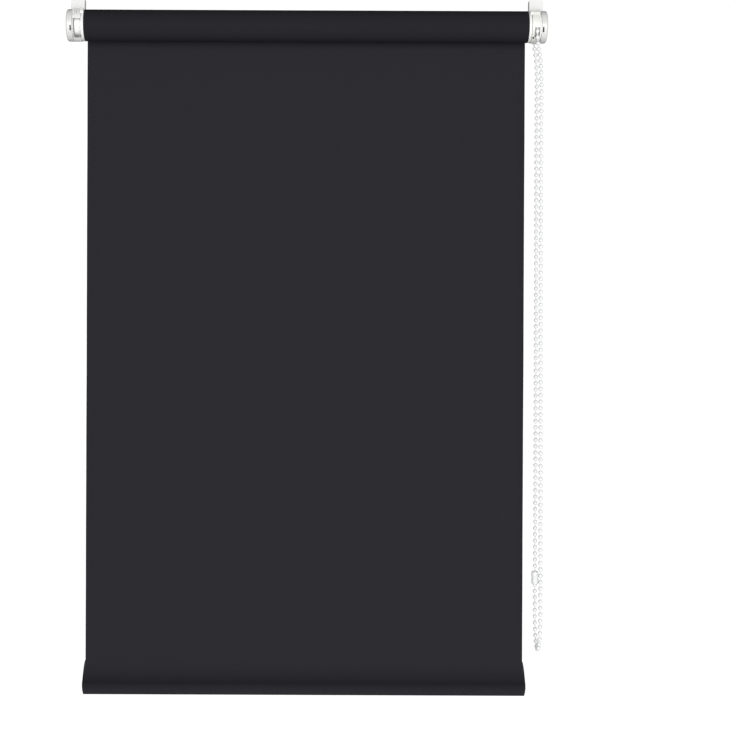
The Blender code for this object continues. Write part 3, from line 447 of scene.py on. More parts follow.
def hem_line(steps=1):
    """The hem's outer face in (y, z): down its front from the cloth, round its foot and up its back."""
    lean = math.radians(HEM_LEAN)
    start = CLOTH_BACK - CLOTH_THICK
    reach = (HEM_HOLLOW_R + HEM_NOSE_R) * (1 - math.cos(lean))
    toe_z = HEM_BOTTOM + HEM_TOE_R
    bend = toe_z + (HEM_HOLLOW_R + HEM_NOSE_R) * math.sin(lean)
    front = start - reach
    heel = front + HEM_FOOT_WIDE
    hollow = arc(HEM_HOLLOW_R, 0, -HEM_LEAN, 8 * steps, (start - HEM_HOLLOW_R, bend))
    nose = arc(HEM_NOSE_R, 180 - HEM_LEAN, 180, 8 * steps, (front + HEM_NOSE_R, toe_z))
    toe = arc(HEM_TOE_R, 180, 270, 4 * steps, (front + HEM_TOE_R, toe_z))
    foot = arc(HEM_HEEL_R, 270, 350, 5 * steps, (heel - HEM_HEEL_R, HEM_BOTTOM + HEM_HEEL_R))
    rise = bezier(
        (heel, HEM_BOTTOM + 4.4 * MM), (heel + MM, HEM_BOTTOM + 11 * MM),
        (CLOTH_BACK, bend - 12 * MM), (CLOTH_BACK, bend - 2 * MM),
        8 * steps,
    )
    return hollow, nose[1:], toe[1:], foot, rise


def drop_path():
    """The cloth's middle line in (y, z): down from the roll, round the weight bar and up behind itself."""
    half = CLOTH_THICK / 2
    plane = CLOTH_BACK - half
    hollow, nose, toe, foot, rise = hem_line(2)
    rows = 70
    bend = hollow[0][1]
    straight = [(plane, AXIS_Z + (bend - AXIS_Z) * i / rows) for i in range(rows)]
    behind = CLOTH_BACK + half + 0.05 * MM
    climb = [(y + (behind + half - CLOTH_BACK) * i / (len(rise) - 1), z) for i, (y, z) in enumerate(rise)]
    climb.append((climb[-1][0], FLAP_TOP))
    return [*straight, *offset_line([*hollow, *nose, *toe, *foot, *climb], half)]


def offset_line(points, distance):
    """Points at a distance to the left of a line in (y, z), seen with Y to the right and Z up."""
    moved = []
    for i, point in enumerate(points):
        before, after = points[max(0, i - 1)], points[min(len(points) - 1, i + 1)]
        run = Vector((after[0] - before[0], after[1] - before[1])).normalized()
        moved.append((point[0] - run.y * distance, point[1] + run.x * distance))
    return moved


def cloth_lengths(points):
    """Distance along a line at each of its points."""
    lengths = [0.0]
    for a, b in zip(points, points[1:]):
        lengths.append(lengths[-1] + math.dist(a, b))
    return lengths


def sway(x, z):
    """How far the hanging cloth stands off its plane: slight cupping at its edges and long shallow waves."""
    down = (AXIS_Z - z) / (AXIS_Z - FLAP_TOP)
    hang = math.sin(math.pi * min(max(down, 0.0), 1.0)) ** 0.8
    edge = min(x - CLOTH_LEFT, CLOTH_RIGHT - x)
    cup = 0.5 * MM * math.exp(-edge / (9 * MM))
    waves = 0.35 * MM * noise.noise(Vector((x * 9.0, z * 1.6, 0.7)))
    return hang * (cup + waves)


def cloth_shell(name, middle, half, edges, wave, columns, finishes):
    """A two-faced strip of cloth along a middle line in (y, z). edges gives its ends at a row."""
    front, back = offset_line(middle, half), offset_line(middle, -half)
    lengths = cloth_lengths(middle)
    bm = bmesh.new()
    layer = bm.verts.layers.float_vector.new("cloth")
    grids = []
    for line in (front, back):
        grid = []
        for i, (y, z) in enumerate(line):
            left, right = edges(i)
            row = []
            for k in range(columns + 1):
                x = left + (right - left) * k / columns
                vert = bm.verts.new((x, y + wave(x, z), z))
                vert[layer] = (x, lengths[i], 0.0)
                row.append(vert)
            grid.append(row)
        grids.append(grid)
    front_grid, back_grid = grids
    last = len(middle) - 1
    for side, grid in enumerate(grids):
        for i in range(last):
            for k in range(columns):
                corners = (grid[i][k], grid[i][k + 1], grid[i + 1][k + 1], grid[i + 1][k])
                bm.faces.new(corners).material_index = side
    for i in range(last):
        for k in (0, columns):
            bm.faces.new((front_grid[i][k], front_grid[i + 1][k], back_grid[i + 1][k], back_grid[i][k]))
    for i in (0, last):
        for k in range(columns):
            bm.faces.new((front_grid[i][k], front_grid[i][k + 1], back_grid[i][k + 1], back_grid[i][k]))
    return to_object(bm, name, finishes, sharp=math.radians(60))


def hanging_cloth():
    """The cloth from the roll's back down to the hem and round the weight bar, in one piece."""
    middle = drop_path()

    def edges(i):
        stray = 0.12 * MM * noise.noise(Vector((middle[i][1] * 14, 1.7, 0)))
        return CLOTH_LEFT + stray, CLOTH_RIGHT + stray

    def wave(x, z):
        return sway(x, z) if z > FLAP_TOP else 0.0

    faces = [CLOTH_FRONT, CLOTH_REVERSE]
    made = cloth_shell("cloth_drop", middle, -CLOTH_THICK / 2, edges, wave, ACROSS, faces)
    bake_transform(made)
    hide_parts("fabric_drop", "hem_pocket")
    return made


def rolled_cloth():
    """The cloth wound on the tube, as a true spiral whose outer end meets the hanging cloth."""
    turns, inner = 12, TUBE_R + GAP
    pitch = (ROLL_R - inner) / turns
    half = pitch * 0.46
    middle = []
    for turn in range(turns):
        steps = 96 if turn >= turns - 2 else 40
        for i in range(steps):
            angle = math.tau * (turn + i / steps)
            middle.append((angle, inner + half + pitch * angle / math.tau))
    middle.append((math.tau * turns, ROLL_R - half))
    line = [(AXIS_Y + r * math.cos(a), AXIS_Z - r * math.sin(a)) for a, r in middle]

    def edges(i):
        stray = 0.5 * MM * abs(noise.noise(Vector((middle[i][0] * 0.35, 3.1, 0))))
        settle_in = min(1.0, (len(middle) - 1 - i) / 60)
        return CLOTH_LEFT + stray * settle_in, CLOTH_RIGHT - stray * settle_in

    made = cloth_shell("cloth_roll", line, -half, edges, lambda x, z: 0.0, 10, [CLOTH_FRONT, CLOTH_REVERSE])
    finished(made, ROLLER, "cloth", "fabric_roll")
    return made


# --- chain ---
def chain_point(x, forward, drop):
    """A point of the chain's route, from its distance in front of the roller's axis and below it."""
    return Vector((x, AXIS_Y - forward, AXIS_Z - drop))


HANG_X, REAR_X, FOOT_X = 217.6 * MM, 218.4 * MM, 218.9 * MM
# The front run leaves its wheel, spreads forward and outward, and hangs; the rear run only spreads outward.
CHAIN_ROUTE = [
    (WHEEL_X, PITCH_R, 9 * MM),
    (WHEEL_X + 0.4 * MM, PITCH_R + 1.2 * MM, 18 * MM),
    (WHEEL_X + 1.7 * MM, 18.4 * MM, 34 * MM),
    (HANG_X, 21.6 * MM, 52 * MM),
    (HANG_X, 22.0 * MM, 80 * MM),
    (HANG_X, 22.0 * MM, 150 * MM),
    (HANG_X + 0.2 * MM, 22.0 * MM, 250 * MM),
    (HANG_X + 0.6 * MM, 22.0 * MM, 350 * MM),
    (HANG_X + 1.0 * MM, 22.0 * MM, 450 * MM),
    (FOOT_X, 21.9 * MM, 530 * MM),
    (FOOT_X, 21.0 * MM, 560 * MM),
    (FOOT_X, 16.5 * MM, 577 * MM),
    (FOOT_X, 5.3 * MM, 585 * MM),
    (FOOT_X, -6.0 * MM, 577 * MM),
    (FOOT_X, -10.6 * MM, 560 * MM),
    (FOOT_X, -PITCH_R, 540 * MM),
    (FOOT_X, -PITCH_R, 520 * MM),
    (FOOT_X, -PITCH_R, 400 * MM),
    (REAR_X + 0.2 * MM, -PITCH_R, 250 * MM),
    (REAR_X, -PITCH_R, 110 * MM),
    (REAR_X, -PITCH_R, 60 * MM),
    (REAR_X, -PITCH_R, 42 * MM),
    (WHEEL_X + 2.2 * MM, -PITCH_R, 28 * MM),
    (WHEEL_X + 0.8 * MM, -PITCH_R, 18 * MM),
    (WHEEL_X, -PITCH_R, 9 * MM),
]


def smooth_route(points, step):
    """Points about a step apart on the Catmull-Rom curve through the route's own points."""
    ends = [2 * points[0] - points[1], *points, 2 * points[-1] - points[-2]]
    route = []
    for a, b, c, d in zip(ends, ends[1:], ends[2:], ends[3:]):
        pieces = max(1, round((c - b).length / step))
        for i in range(pieces):
            t = i / pieces
            bend = (2 * a - 5 * b + 4 * c - d) * t**2 + (3 * b - a - 3 * c + d) * t**3
            route.append(0.5 * (2 * b + (c - a) * t + bend))
    return [*route, points[-1]]


def at_distances(route, distances):
    """(point, direction) at each distance along a route."""
    found, travelled, i = [], 0.0, 0
    for wanted in distances:
        while i < len(route) - 2 and travelled + (route[i + 1] - route[i]).length < wanted:
            travelled += (route[i + 1] - route[i]).length
            i += 1
        run = route[i + 1] - route[i]
        found.append((route[i] + run.normalized() * (wanted - travelled), run.normalized()))
    return found


def add_thread(bm, route, radius, sides=8):
    """A thin round thread along a route."""
    rings = []
    side = Vector((1, 0, 0))
    for i, point in enumerate(route):
        run = (route[min(i + 1, len(route) - 1)] - route[max(i - 1, 0)]).normalized()
        across = (side - run * side.dot(run)).normalized()
        other = run.cross(across)
        ring = []
        for k in range(sides):
            a = math.tau * k / sides
            ring.append(bm.verts.new(point + radius * (math.cos(a) * across + math.sin(a) * other)))
        rings.append(ring)
    join_rings(bm, rings)
    bm.faces.new(rings[-1])


def add_beads(bm, places):
    """Round moulded beads strung along the thread."""
    around, rows = 14, 8
    for point, run in places:
        turn = run.to_track_quat("Z", "Y").to_matrix()
        rings = []
        for i in range(1, rows):
            tilt = math.pi * i / rows
            ring = []
            for k in range(around):
                angle = math.tau * k / around
                wide = math.sin(tilt)
                arm = Vector((wide * math.cos(angle), wide * math.sin(angle), math.cos(tilt)))
                ring.append(bm.verts.new(point + turn @ arm * BEAD_R))
            rings.append(ring)
        top, foot = (bm.verts.new(point + turn @ Vector((0, 0, end * BEAD_R))) for end in (1, -1))
        for a, b in zip(rings, rings[1:]):
            for k in range(around):
                bm.faces.new((a[k], b[k], b[(k + 1) % around], a[(k + 1) % around]))
        for k in range(around):
            bm.faces.new((top, rings[0][k], rings[0][(k + 1) % around]))
            bm.faces.new((foot, rings[-1][(k + 1) % around], rings[-1][k]))


def chain_loop():
    """The hanging loop of the bead chain, from the wheel's front exit round to its rear exit."""
    route = smooth_route([chain_point(*p) for p in CHAIN_ROUTE], 2 * MM)
    long = sum((b - a).length for a, b in zip(route, route[1:]))
    count = round((long - BEAD_PITCH) / BEAD_PITCH)
    pitch = (long - BEAD_PITCH) / count
    bm = bmesh.new()
    add_thread(bm, route, THREAD_R)
    add_beads(bm, at_distances(route, [BEAD_PITCH / 2 + i * pitch for i in range(count + 1)]))
    made = to_object(bm, "bead_chain", CLEAR, sharp=math.radians(80))
    finished(made, ROOT, "chain_plastic", "chain_loop")
    connector = chain_connector()
    print(f"hanging chain: {long:.4f} m, {count + 1} beads {pitch * 1000:.3f} mm apart")
    return made


def chain_on_wheel():
    """The stretch of chain on the wheel, from the front exit over the top to the rear exit."""
    straight = 9.0 * MM
    quarter_turns = 48
    over = [(PITCH_R, math.pi - math.pi * i / quarter_turns) for i in range(quarter_turns + 1)]
    ahead = [Vector((WHEEL_X, -PITCH_R, -straight + straight * i / 4)) for i in range(4)]
    curve = [Vector((WHEEL_X, r * math.cos(a), r * math.sin(a))) for r, a in over]
    behind = [Vector((WHEEL_X, PITCH_R, -straight * i / 4)) for i in range(1, 5)]
    route = [*ahead, *curve, *behind]
    bm = bmesh.new()
    add_thread(bm, route, THREAD_R)
    first = straight - BEAD_PITCH
    add_beads(bm, at_distances(route, [first + k * BEAD_PITCH for k in range(BEADS_ROUND // 2 + 3)]))
    made = to_object(bm, "bead_chain_on_wheel", CLEAR, TO_AXIS, sharp=math.radians(80))
    return finished(made, ROOT, "chain_plastic", "chain_wrap")


CONNECTOR_DROP, CONNECTOR_LONG = 520.0 * MM, 12.0 * MM


def chain_connector():
    """The snap barrel that joins the chain's two ends, waisted in the middle."""
    half, inner, outer = CONNECTOR_LONG / 2, BEAD_R + 0.35 * MM, 3.3 * MM
    waist = 0.35 * MM
    profile = [
        (-half, inner), (-half, outer - 0.5 * MM), (-half + 0.7 * MM, outer), (-MM, outer),
        (-0.6 * MM, outer - waist), (0.6 * MM, outer - waist), (MM, outer),
        (half - 0.7 * MM, outer), (half, outer - 0.5 * MM), (half, inner),
    ]
    upright = Matrix.Rotation(-math.pi / 2, 4, "Y")
    at = chain_point(FOOT_X, -PITCH_R, CONNECTOR_DROP)
    made = turned("chain_joiner", eased(profile, 0.3 * MM), CLEAR, Matrix.Translation(at) @ upright, SMALL)
    return finished(made, ROOT, "chain_plastic", "chain_connector")


# --- hooks and clamps ---
def hook(side):
    """The moulded hook over the sash: a broad front, then a narrower bar and leg with a relief."""
    name = side_name(side)
    front = [
        (BLOCK_FRONT, HOOK_TOP), (BLOCK_FRONT, BLOCK_BOTTOM), (PLATE_FRONT, BLOCK_BOTTOM),
        (PLATE_FRONT, PLATE_BOTTOM), (PLATE_BACK, PLATE_BOTTOM), (PLATE_BACK, HOOK_TOP),
    ]
    bar_top = HOOK_TOP - GAP
    bar = [
        (BAR_ROOT, bar_top), (BAR_ROOT, 0.0), (LEG_FRONT, 0.0), (LEG_FRONT, LEG_BOTTOM),
        (LEG_BACK, LEG_BOTTOM), (LEG_BACK, bar_top),
    ]
    made = settle(soften(prism(f"hook_{name}", front, *span(side, HOOK_IN, HOOK_OUT), WHITE), 0.4 * MM))
    weld(made, settle(soften(prism("bar", bar, *span(side, BAR_IN, BAR_OUT), WHITE), 0.4 * MM)))
    place = along_y(side * CLAMP_X, CLAMP_Z)
    hole = rod("leg_hole", LEG_FRONT - MM, LEG_BACK + MM, CLAMP_SCREW_R + 0.4 * MM, WHITE, place)
    low_x, high_x = span(side, BAR_IN + 1.8 * MM, BAR_OUT - 1.8 * MM)
    relief = box("relief", (low_x, 3 * MM, bar_top - 0.5 * MM), (high_x, 21 * MM, HOOK_TOP + MM), WHITE)
    cutters = [hole, settle(soften(relief, 0.4 * MM))]
    if side == RIGHT:
        place = along_y(BRACKET_SCREW_X, REAR_SCREW_Z)
        cutters.append(rod("rear_hole", PLATE_FRONT - MM, PLATE_BACK + MM, SCREW_HOLE_R, WHITE, place))
        cutters.append(rod("rear_seat", PLATE_BACK - 1.6 * MM, PLATE_BACK + MM, 2.8 * MM, WHITE, place))
    carve(made, *cutters)
    return finished(made, ROOT, "white_plastic", f"clamp_hook_{name}")


def threaded(name, x0, x1, radius, pitch, finish, place):
    """A round bar with a V thread, its two ends tapered."""
    around, per_pitch, deep = 28, 6, 0.32 * MM
    rows = math.ceil((x1 - x0) / pitch * per_pitch)
    bm = bmesh.new()
    rings = []
    for i in range(rows + 1):
        x = x0 + (x1 - x0) * i / rows
        taper = max(0.0, 1 - min(x - x0, x1 - x) / (0.8 * MM))
        ring = []
        for k in range(around):
            phase = (x / pitch - k / around) % 1.0
            cut = deep * (1 - abs(2 * phase - 1)) + 0.5 * MM * taper
            angle = math.tau * k / around
            ring.append(bm.verts.new((x, (radius - cut) * math.cos(angle), (radius - cut) * math.sin(angle))))
        rings.append(ring)
    join_rings(bm, rings)
    bm.faces.new(rings[-1])
    return to_object(bm, name, finish, place, sharp=math.radians(70))


def knurled(name, x0, x1, radius, finish, place):
    """A thumb knob with round ridges and a dished outer face."""
    ridges, per_ridge = 20, 6
    around = ridges * per_ridge
    rows = [
        (x0, 0.72), (x0, 0.92), (x0 + 0.5 * MM, 1.0), (x1 - 0.6 * MM, 1.0), (x1, 0.9), (x1, 0.66),
        (x1 - 0.6 * MM, 0.6),
    ]
    bm = bmesh.new()
    rings = []
    for x, share in rows:
        ring = []
        for k in range(around):
            groove = 0.5 - 0.5 * math.cos(math.tau * k / per_ridge)
            depth = 0.4 * MM * groove * max(0.0, (share - 0.7) / 0.3)
            angle = math.tau * k / around
            r = radius * share - depth
            ring.append(bm.verts.new((x, r * math.cos(angle), r * math.sin(angle))))
        rings.append(ring)
    join_rings(bm, rings)
    bm.faces.new(rings[-1])
    return to_object(bm, name, finish, place)


def clamp(side):
    """The thumb screw with its thread, the hexagon nut behind the leg and the pad on the screw's tip."""
    name = side_name(side)
    place = along_y(side * CLAMP_X, CLAMP_Z)
    tip = CLAMP_FACE_Y + 1.8 * MM
    start, stop = CLAMP_FACE_Y + 3 * MM + GAP, KNOB_FRONT + MM
    screw = threaded(f"thumb_screw_{name}", start, stop, CLAMP_SCREW_R, CLAMP_PITCH, STEEL, place)
    thin = 1.6 * MM
    nose = [(tip, 0), (tip, 1.1 * MM), (tip + 0.5 * MM, thin), (start + MM, thin), (start + MM, 0)]
    weld(
        screw,
        turned("nose", nose, STEEL, place, SMALL),
        knurled("knob", KNOB_FRONT, KNOB_BACK, KNOB_R, STEEL, place),
    )
    finished(screw, f"clamp_screw_{name}", "zinc_steel", f"clamp_screw_{name}")

    nut_front, nut_back = LEG_BACK + GAP, LEG_BACK + GAP + 4.0 * MM
    nut = prism(f"hex_nut_{name}", arc(CLAMP_NUT_R, 0, 300, 5), nut_front, nut_back, STEEL, place)
    flat, full = CLAMP_NUT_R - 0.5 * MM, CLAMP_NUT_R + 0.1 * MM
    cone = [(nut_front, 0), (nut_front, flat), (nut_front + 0.5 * MM, full)]
    cone += [(nut_back - 0.5 * MM, full), (nut_back, flat), (nut_back, 0)]
    chamfer = turned("chamfer", cone, STEEL, place, SMALL)
    combine(nut, chamfer, "INTERSECT")
    settle(nut, chamfer)
    carve(nut, rod("nut_bore", nut_front - MM, nut_back + MM, CLAMP_SCREW_R + GAP, STEEL, place))
    finished(nut, ROOT, "zinc_steel", f"clamp_nut_{name}")

    face, back = CLAMP_FACE_Y, CLAMP_FACE_Y + 3.0 * MM
    profile = [
        (face + 0.25 * MM, 0), (face + 0.25 * MM, 3.0 * MM), (face, 3.4 * MM), (face, 4.1 * MM),
        (face + 0.5 * MM, 4.5 * MM), (back - MM, 4.5 * MM), (back, 3.2 * MM), (back, 1.9 * MM),
        (back - 1.5 * MM, 1.9 * MM), (back - 1.5 * MM, 0),
    ]
    pad = turned(f"swivel_pad_{name}", eased(profile, 0.25 * MM), BLACK, place, SMALL)
    finished(pad, f"clamp_pad_{name}", "dark_plastic", f"clamp_pad_{name}")


# --- brackets ---
def round_front(start):
    """The round underside and front of a bracket from an angle up to its brow, then up to its roof."""
    brow = math.degrees(math.acos(BROW_Y / CAP_R))
    return [*arc(CAP_R, start, brow, 52), (BROW_Y, BROW_HIGH), (ROOF_Y, ROOF_Z)]


def visor(side, root, finish):
    """The part of a bracket's brow that reaches in over the roller's flange."""
    front, roof = BROW_Y + VISOR_STEP, ROOF_Z - 1.5 * VISOR_STEP
    brow = [(front, VISOR_LOW), (front, BROW_HIGH - VISOR_STEP)]
    brow += [(ROOF_Y + VISOR_STEP, roof), (VISOR_BACK, roof)]
    made = prism("visor", brow, *span(side, VISOR_IN, root), finish, TO_AXIS)
    return carve(made, rod("room", *span(side, VISOR_IN - MM, root + MM), VISOR_R, finish, steps=ROUND))


def bracket_left():
    """The idle side's bracket, open at the front round the drum, with the screw's recess in its brow."""
    hook_front = BLOCK_FRONT - AXIS_Y - GAP
    plate_front = PLATE_FRONT - AXIS_Y - GAP
    shelf = BLOCK_BOTTOM - AXIS_Z - GAP
    back = [(hook_front, ROOF_Z), (hook_front, shelf), (plate_front, shelf), (plate_front, TAIL_Z)]
    outline = [*round_front(TAIL_ANGLE), *back]
    x0, x1 = span(LEFT, BODY_IN, BODY_OUT)
    made = settle(soften(prism("idle_bracket", outline, x0, x1, WHITE, TO_AXIS), 0.22 * MM, 2))
    spigot = rod("spigot", -SPIGOT_OUT, -BODY_OUT + 0.3 * MM, SPIGOT_R, WHITE, steps=ROUND)
    weld(made, spigot, visor(LEFT, BODY_IN + MM, WHITE))
    room = DRUM_R + 0.5 * MM
    opening = [
        (-20 * MM, WINDOW_LOW), (WINDOW_BACK, WINDOW_LOW), (WINDOW_BACK, room),
        (WINDOW_LEDGE, room),
        WINDOW_LIP,
        (-20 * MM, 9.1 * MM),
    ]
    window = prism("window", opening, -WINDOW_OUT, -BODY_IN + MM, WHITE, TO_AXIS)
    bearing = rod("bearing", -SPIGOT_OUT - MM, -BODY_IN, PIN_R + RUNNING, WHITE)
    place = along_y(-BRACKET_SCREW_X, BRACKET_SCREW_Z)
    front = AXIS_Y - 20 * MM
    way = rod("way", front, PLATE_FRONT + MM, SCREW_HOLE_R, WHITE, place)
    recess = rod("recess", front, AXIS_Y + RECESS_FLOOR, RECESS_R, WHITE, place)
    carve(made, window, bearing, way, recess)
    return finished(made, ROOT, "white_plastic", "bracket_left")


def bracket_right():
    """The chain side's bracket: a round wall that holds the spindle, on a block fixed to the hook's plate."""
    made = rod("drive_bracket", WHEEL_WALL, BODY_OUT, WALL_R, WHITE, steps=ROUND)
    front = CAP_R + GAP
    back = PLATE_FRONT - AXIS_Y - GAP
    roof = BLOCK_BOTTOM - AXIS_Z - GAP
    arm = box("arm", (WHEEL_WALL, 0, TAIL_Z), (BODY_OUT, back, roof), WHITE, TO_AXIS)
    block = box("block", (BODY_IN, front, TAIL_Z), (BODY_OUT, back, roof), WHITE, TO_AXIS)
    spigot = rod("spigot", BODY_OUT - MM, SPIGOT_OUT, SPIGOT_R, WHITE, steps=ROUND)
    weld(made, spigot, settle(soften(arm, 0.2 * MM, 2)), settle(soften(block, 0.3 * MM, 2)))
    place = along_y(BRACKET_SCREW_X, REAR_SCREW_Z)
    way = rod("way", AXIS_Y + CAP_R, PLATE_FRONT, SCREW_HOLE_R, WHITE, place)
    carve(made, rod("hole", WHEEL_WALL - MM, SPIGOT_OUT + MM, SPINDLE_HOLE_R, WHITE), way)
    return finished(made, ROOT, "white_plastic", "bracket_right")


def chain_guard():
    """The thin shell round the chain wheel, open where the chain leaves, with a pin hole low in front."""
    outline = [*round_front(270), *arc(CAP_R, 64, -90, 60)[:-1]]
    shell = prism("wheel_guard", outline, GUARD_IN, GUARD_OUT - GUARD_SHORT, CREAM, TO_AXIS)
    made = settle(soften(shell, 0.15 * MM, 2))
    weld(made, visor(RIGHT, GUARD_IN + MM, CREAM))
    hollow = GUARD_IN + 1.1 * MM
    beyond = GUARD_OUT + MM
    cutters = [
        rod("hollow", hollow, beyond, CAP_R - GUARD_WALL, CREAM, steps=ROUND),
        rod("hole", GUARD_IN - MM, hollow + MM, HUB_R + 0.5 * MM, CREAM),
    ]
    for y0, y1 in ((-CAP_R - MM, -EXIT_EDGE), (EXIT_EDGE, CAP_R + MM)):
        low = (WHEEL_X - BEAD_R - 0.9 * MM, y0, -CAP_R)
        gap = box("gap", low, (beyond + MM, y1, EXIT_TOP), CREAM, TO_AXIS)
        cutters.append(settle(soften(gap, 0.6 * MM)))
    for y, z in ((BROW_Y, BROW_HIGH), (-12.6 * MM, 8.1 * MM)):
        low = (VISOR_IN - MM, y - MM, z - GROOVE_HALF)
        high = (beyond, y + GROOVE_DEEP, z + GROOVE_HALF)
        cutters.append(box("groove", low, high, CREAM, TO_AXIS))
    low = (WHEEL_WALL - GAP, 5 * MM, TAIL_Z - GAP)
    cutters.append(box("notch", low, (beyond, CAP_R + MM, BLOCK_BOTTOM - AXIS_Z), CREAM, TO_AXIS))
    place = along_y(GUARD_IN + 1.2 * MM, AXIS_Z - 11.9 * MM)
    # The pin hole's walls take the dark finish: painted shade for the hole's depth.
    cutters.append(rod("pin_hole", AXIS_Y - CAP_R, AXIS_Y - 5 * MM, PIN_HOLE_R, BLACK, place))
    carve(made, *cutters)
    return finished(made, ROOT, "white_plastic", "chain_guard")


def cover_cap(side):
    """The round snap-on cover, with a rounded rim, a shallow dish in its face and a pry slot."""
    name = side_name(side)
    skirt, wall, soft = 1.4 * MM, 1.3 * MM, 1.6 * MM
    turn = [math.pi / 2 * i / 8 for i in range(9)]
    edge = [(CAP_OUT - soft + soft * math.sin(a), CAP_R - soft + soft * math.cos(a)) for a in turn]
    profile = [
        (CAP_OUT - wall, 0), (CAP_OUT - wall, CAP_R - skirt), (BODY_OUT + GAP, CAP_R - skirt),
        (BODY_OUT + GAP, CAP_R - 0.25 * MM), (BODY_OUT + GAP + 0.25 * MM, CAP_R),
        *edge,
        (CAP_OUT, 11.4 * MM), (CAP_OUT - 0.3 * MM, 11.0 * MM), (CAP_OUT - 0.3 * MM, 0),
    ]
    made = turned(f"end_cover_{name}", [(side * x, r) for x, r in profile], PEARL)
    low_x, high_x = span(side, SLOT_IN, SLOT_OUT)
    middle, half = (SLOT_LOW + SLOT_HIGH) / 2, (SLOT_HIGH - SLOT_LOW) / 2
    low, high = (low_x, -CAP_R - MM, -half), (high_x, -CAP_R + SLOT_DEEP, half)
    place = TO_AXIS @ Matrix.Rotation(-math.asin(middle / CAP_R), 4, "X")
    # The slot's walls take the dark finish: painted shade where a slot cut right through would show dark.
    carve(made, settle(soften(box("slot", low, high, BLACK, place), 0.2 * MM)))
    return finished(made, ROOT, "white_plastic", f"cover_cap_{name}")


def cross_cutters(x0, x1, place):
    """The two slots of a cross recess, between two local X values."""
    arms = ((1.5 * MM, 0.4 * MM), (0.4 * MM, 1.5 * MM))
    return [box("cross", (x0, -y, -z), (x1, y, z), PAINTED, place) for y, z in arms]


def bracket_screws():
    place = along_y(-BRACKET_SCREW_X, BRACKET_SCREW_Z)
    seat = AXIS_Y + RECESS_FLOOR - GAP
    face, head = seat - 1.8 * MM, 2.6 * MM
    dome = [(face + 0.35 * MM * (1 - math.cos(a)), head * math.sin(a)) for a in (0, 0.5, 0.9, 1.2, 1.4, 1.57)]
    shank = [(seat, head), (seat, SCREW_SHANK_R), (PLATE_BACK - GAP, SCREW_SHANK_R), (PLATE_BACK - GAP, 0)]
    screw = turned("fixing_screw_left", [(face, 0), *dome[1:], *shank], PAINTED, place, SMALL)
    carve(screw, *cross_cutters(face - MM, face + 1.5 * MM, place))
    finished(screw, ROOT, "painted_steel", "bracket_screw_left")

    place = along_y(BRACKET_SCREW_X, REAR_SCREW_Z)
    tip, seat, face = AXIS_Y + CAP_R + 1.1 * MM, PLATE_BACK - 1.3 * MM, PLATE_BACK - 0.1 * MM
    profile = [
        (tip, 0), (tip, SCREW_SHANK_R), (seat, SCREW_SHANK_R), (seat, 2.4 * MM),
        (face - 0.25 * MM, 2.4 * MM), (face, 2.1 * MM), (face, 0),
    ]
    screw = turned("fixing_screw_right", profile, STEEL, place, SMALL)
    carve(screw, *cross_cutters(face - 0.7 * MM, face + MM, place))
    finished(screw, ROOT, "zinc_steel", "bracket_screw_right")


# --- roller ends ---
def flanged_plugs():
    """The two turned plugs whose flanges show beside the roll."""
    body = TUBE_R - 0.8 * MM - GAP
    flange = CLOTH_LEFT - GAP
    bore, chamber, shoulder = PIN_R + 0.35 * MM, 4.6 * MM, -204.0 * MM
    profile = [
        (-188.0 * MM, chamber), (-188.0 * MM, body), (flange, body), (flange, FLANGE_R),
        (flange - FLANGE_WIDE, FLANGE_R), (flange - FLANGE_WIDE, DRUM_R), (-DRUM_OUT, DRUM_R),
        (-DRUM_OUT, bore), (shoulder, bore), (shoulder, chamber),
    ]
    plug = turned("idle_plug", eased(profile, 0.25 * MM), WHITE)
    finished(plug, ROLLER, "white_plastic", "idle_end_plug")

    flange, start, nose, hollow = CLOTH_RIGHT + GAP, 178.0 * MM, 2.6 * MM + RUNNING, 6.2 * MM
    profile = [
        (start, nose), (start, body), (flange, body), (flange, FLANGE_R),
        (flange + FLANGE_WIDE, FLANGE_R), (flange + FLANGE_WIDE, hollow), (start + 2 * MM, hollow),
        (start + 2 * MM, nose),
    ]
    sleeve = turned("drive_plug", eased(profile, 0.25 * MM), WHITE)
    finished(sleeve, ROLLER, "white_plastic", "drive_sleeve")


def pin_spring():
    """The coil behind the pin's collar, built at one length; the real coil shortens as the pin is pushed in."""
    first, last, seat = -201.3 * MM, -190.8 * MM, -190.5 * MM
    coil, wire, turns, steps = 3.2 * MM, 0.3 * MM, 8, 24
    route = []
    for i in range(turns * steps + 1):
        angle = math.tau * i / steps
        along = first + (last - first) * i / (turns * steps)
        route.append(Vector((along, AXIS_Y + coil * math.cos(angle), AXIS_Z + coil * math.sin(angle))))
    bm = bmesh.new()
    add_thread(bm, route, wire)
    made = to_object(bm, "idle_pin_spring", STEEL, sharp=math.radians(60))
    finished(made, ROLLER, "zinc_steel", "pin_spring")
    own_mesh(made)
    return made


def chain_wheel():
    """The chain wheel, with one round groove for the beads."""
    groove_r = BEAD_R + GAP
    rim = PITCH_R - 1.4 * MM
    open_half = math.sqrt(groove_r**2 - (PITCH_R - rim) ** 2)
    edge = math.atan2(PITCH_R - rim, open_half)
    groove = []
    for i in range(17):
        angle = edge + (math.pi - 2 * edge) * i / 16
        groove.append((WHEEL_X - groove_r * math.cos(angle), PITCH_R - groove_r * math.sin(angle)))
    left, right = WHEEL_X - WHEEL_HALF, WHEEL_X + WHEEL_HALF
    hub = [(199.0 * MM, SPINDLE_HOLE_R), (199.0 * MM, HUB_R), (left, HUB_R)]
    made = turned("bead_wheel", [*hub, (left, rim), *groove, (right, rim), (right, SPINDLE_HOLE_R)], WHITE)
    return finished(made, ROLLER, "white_plastic", "chain_wheel")


# --- hem ---
CAP_RINGS = (0.0, 0.08, 0.2, 0.36, 0.56, 0.8)  # how far each ring has closed in on the spine


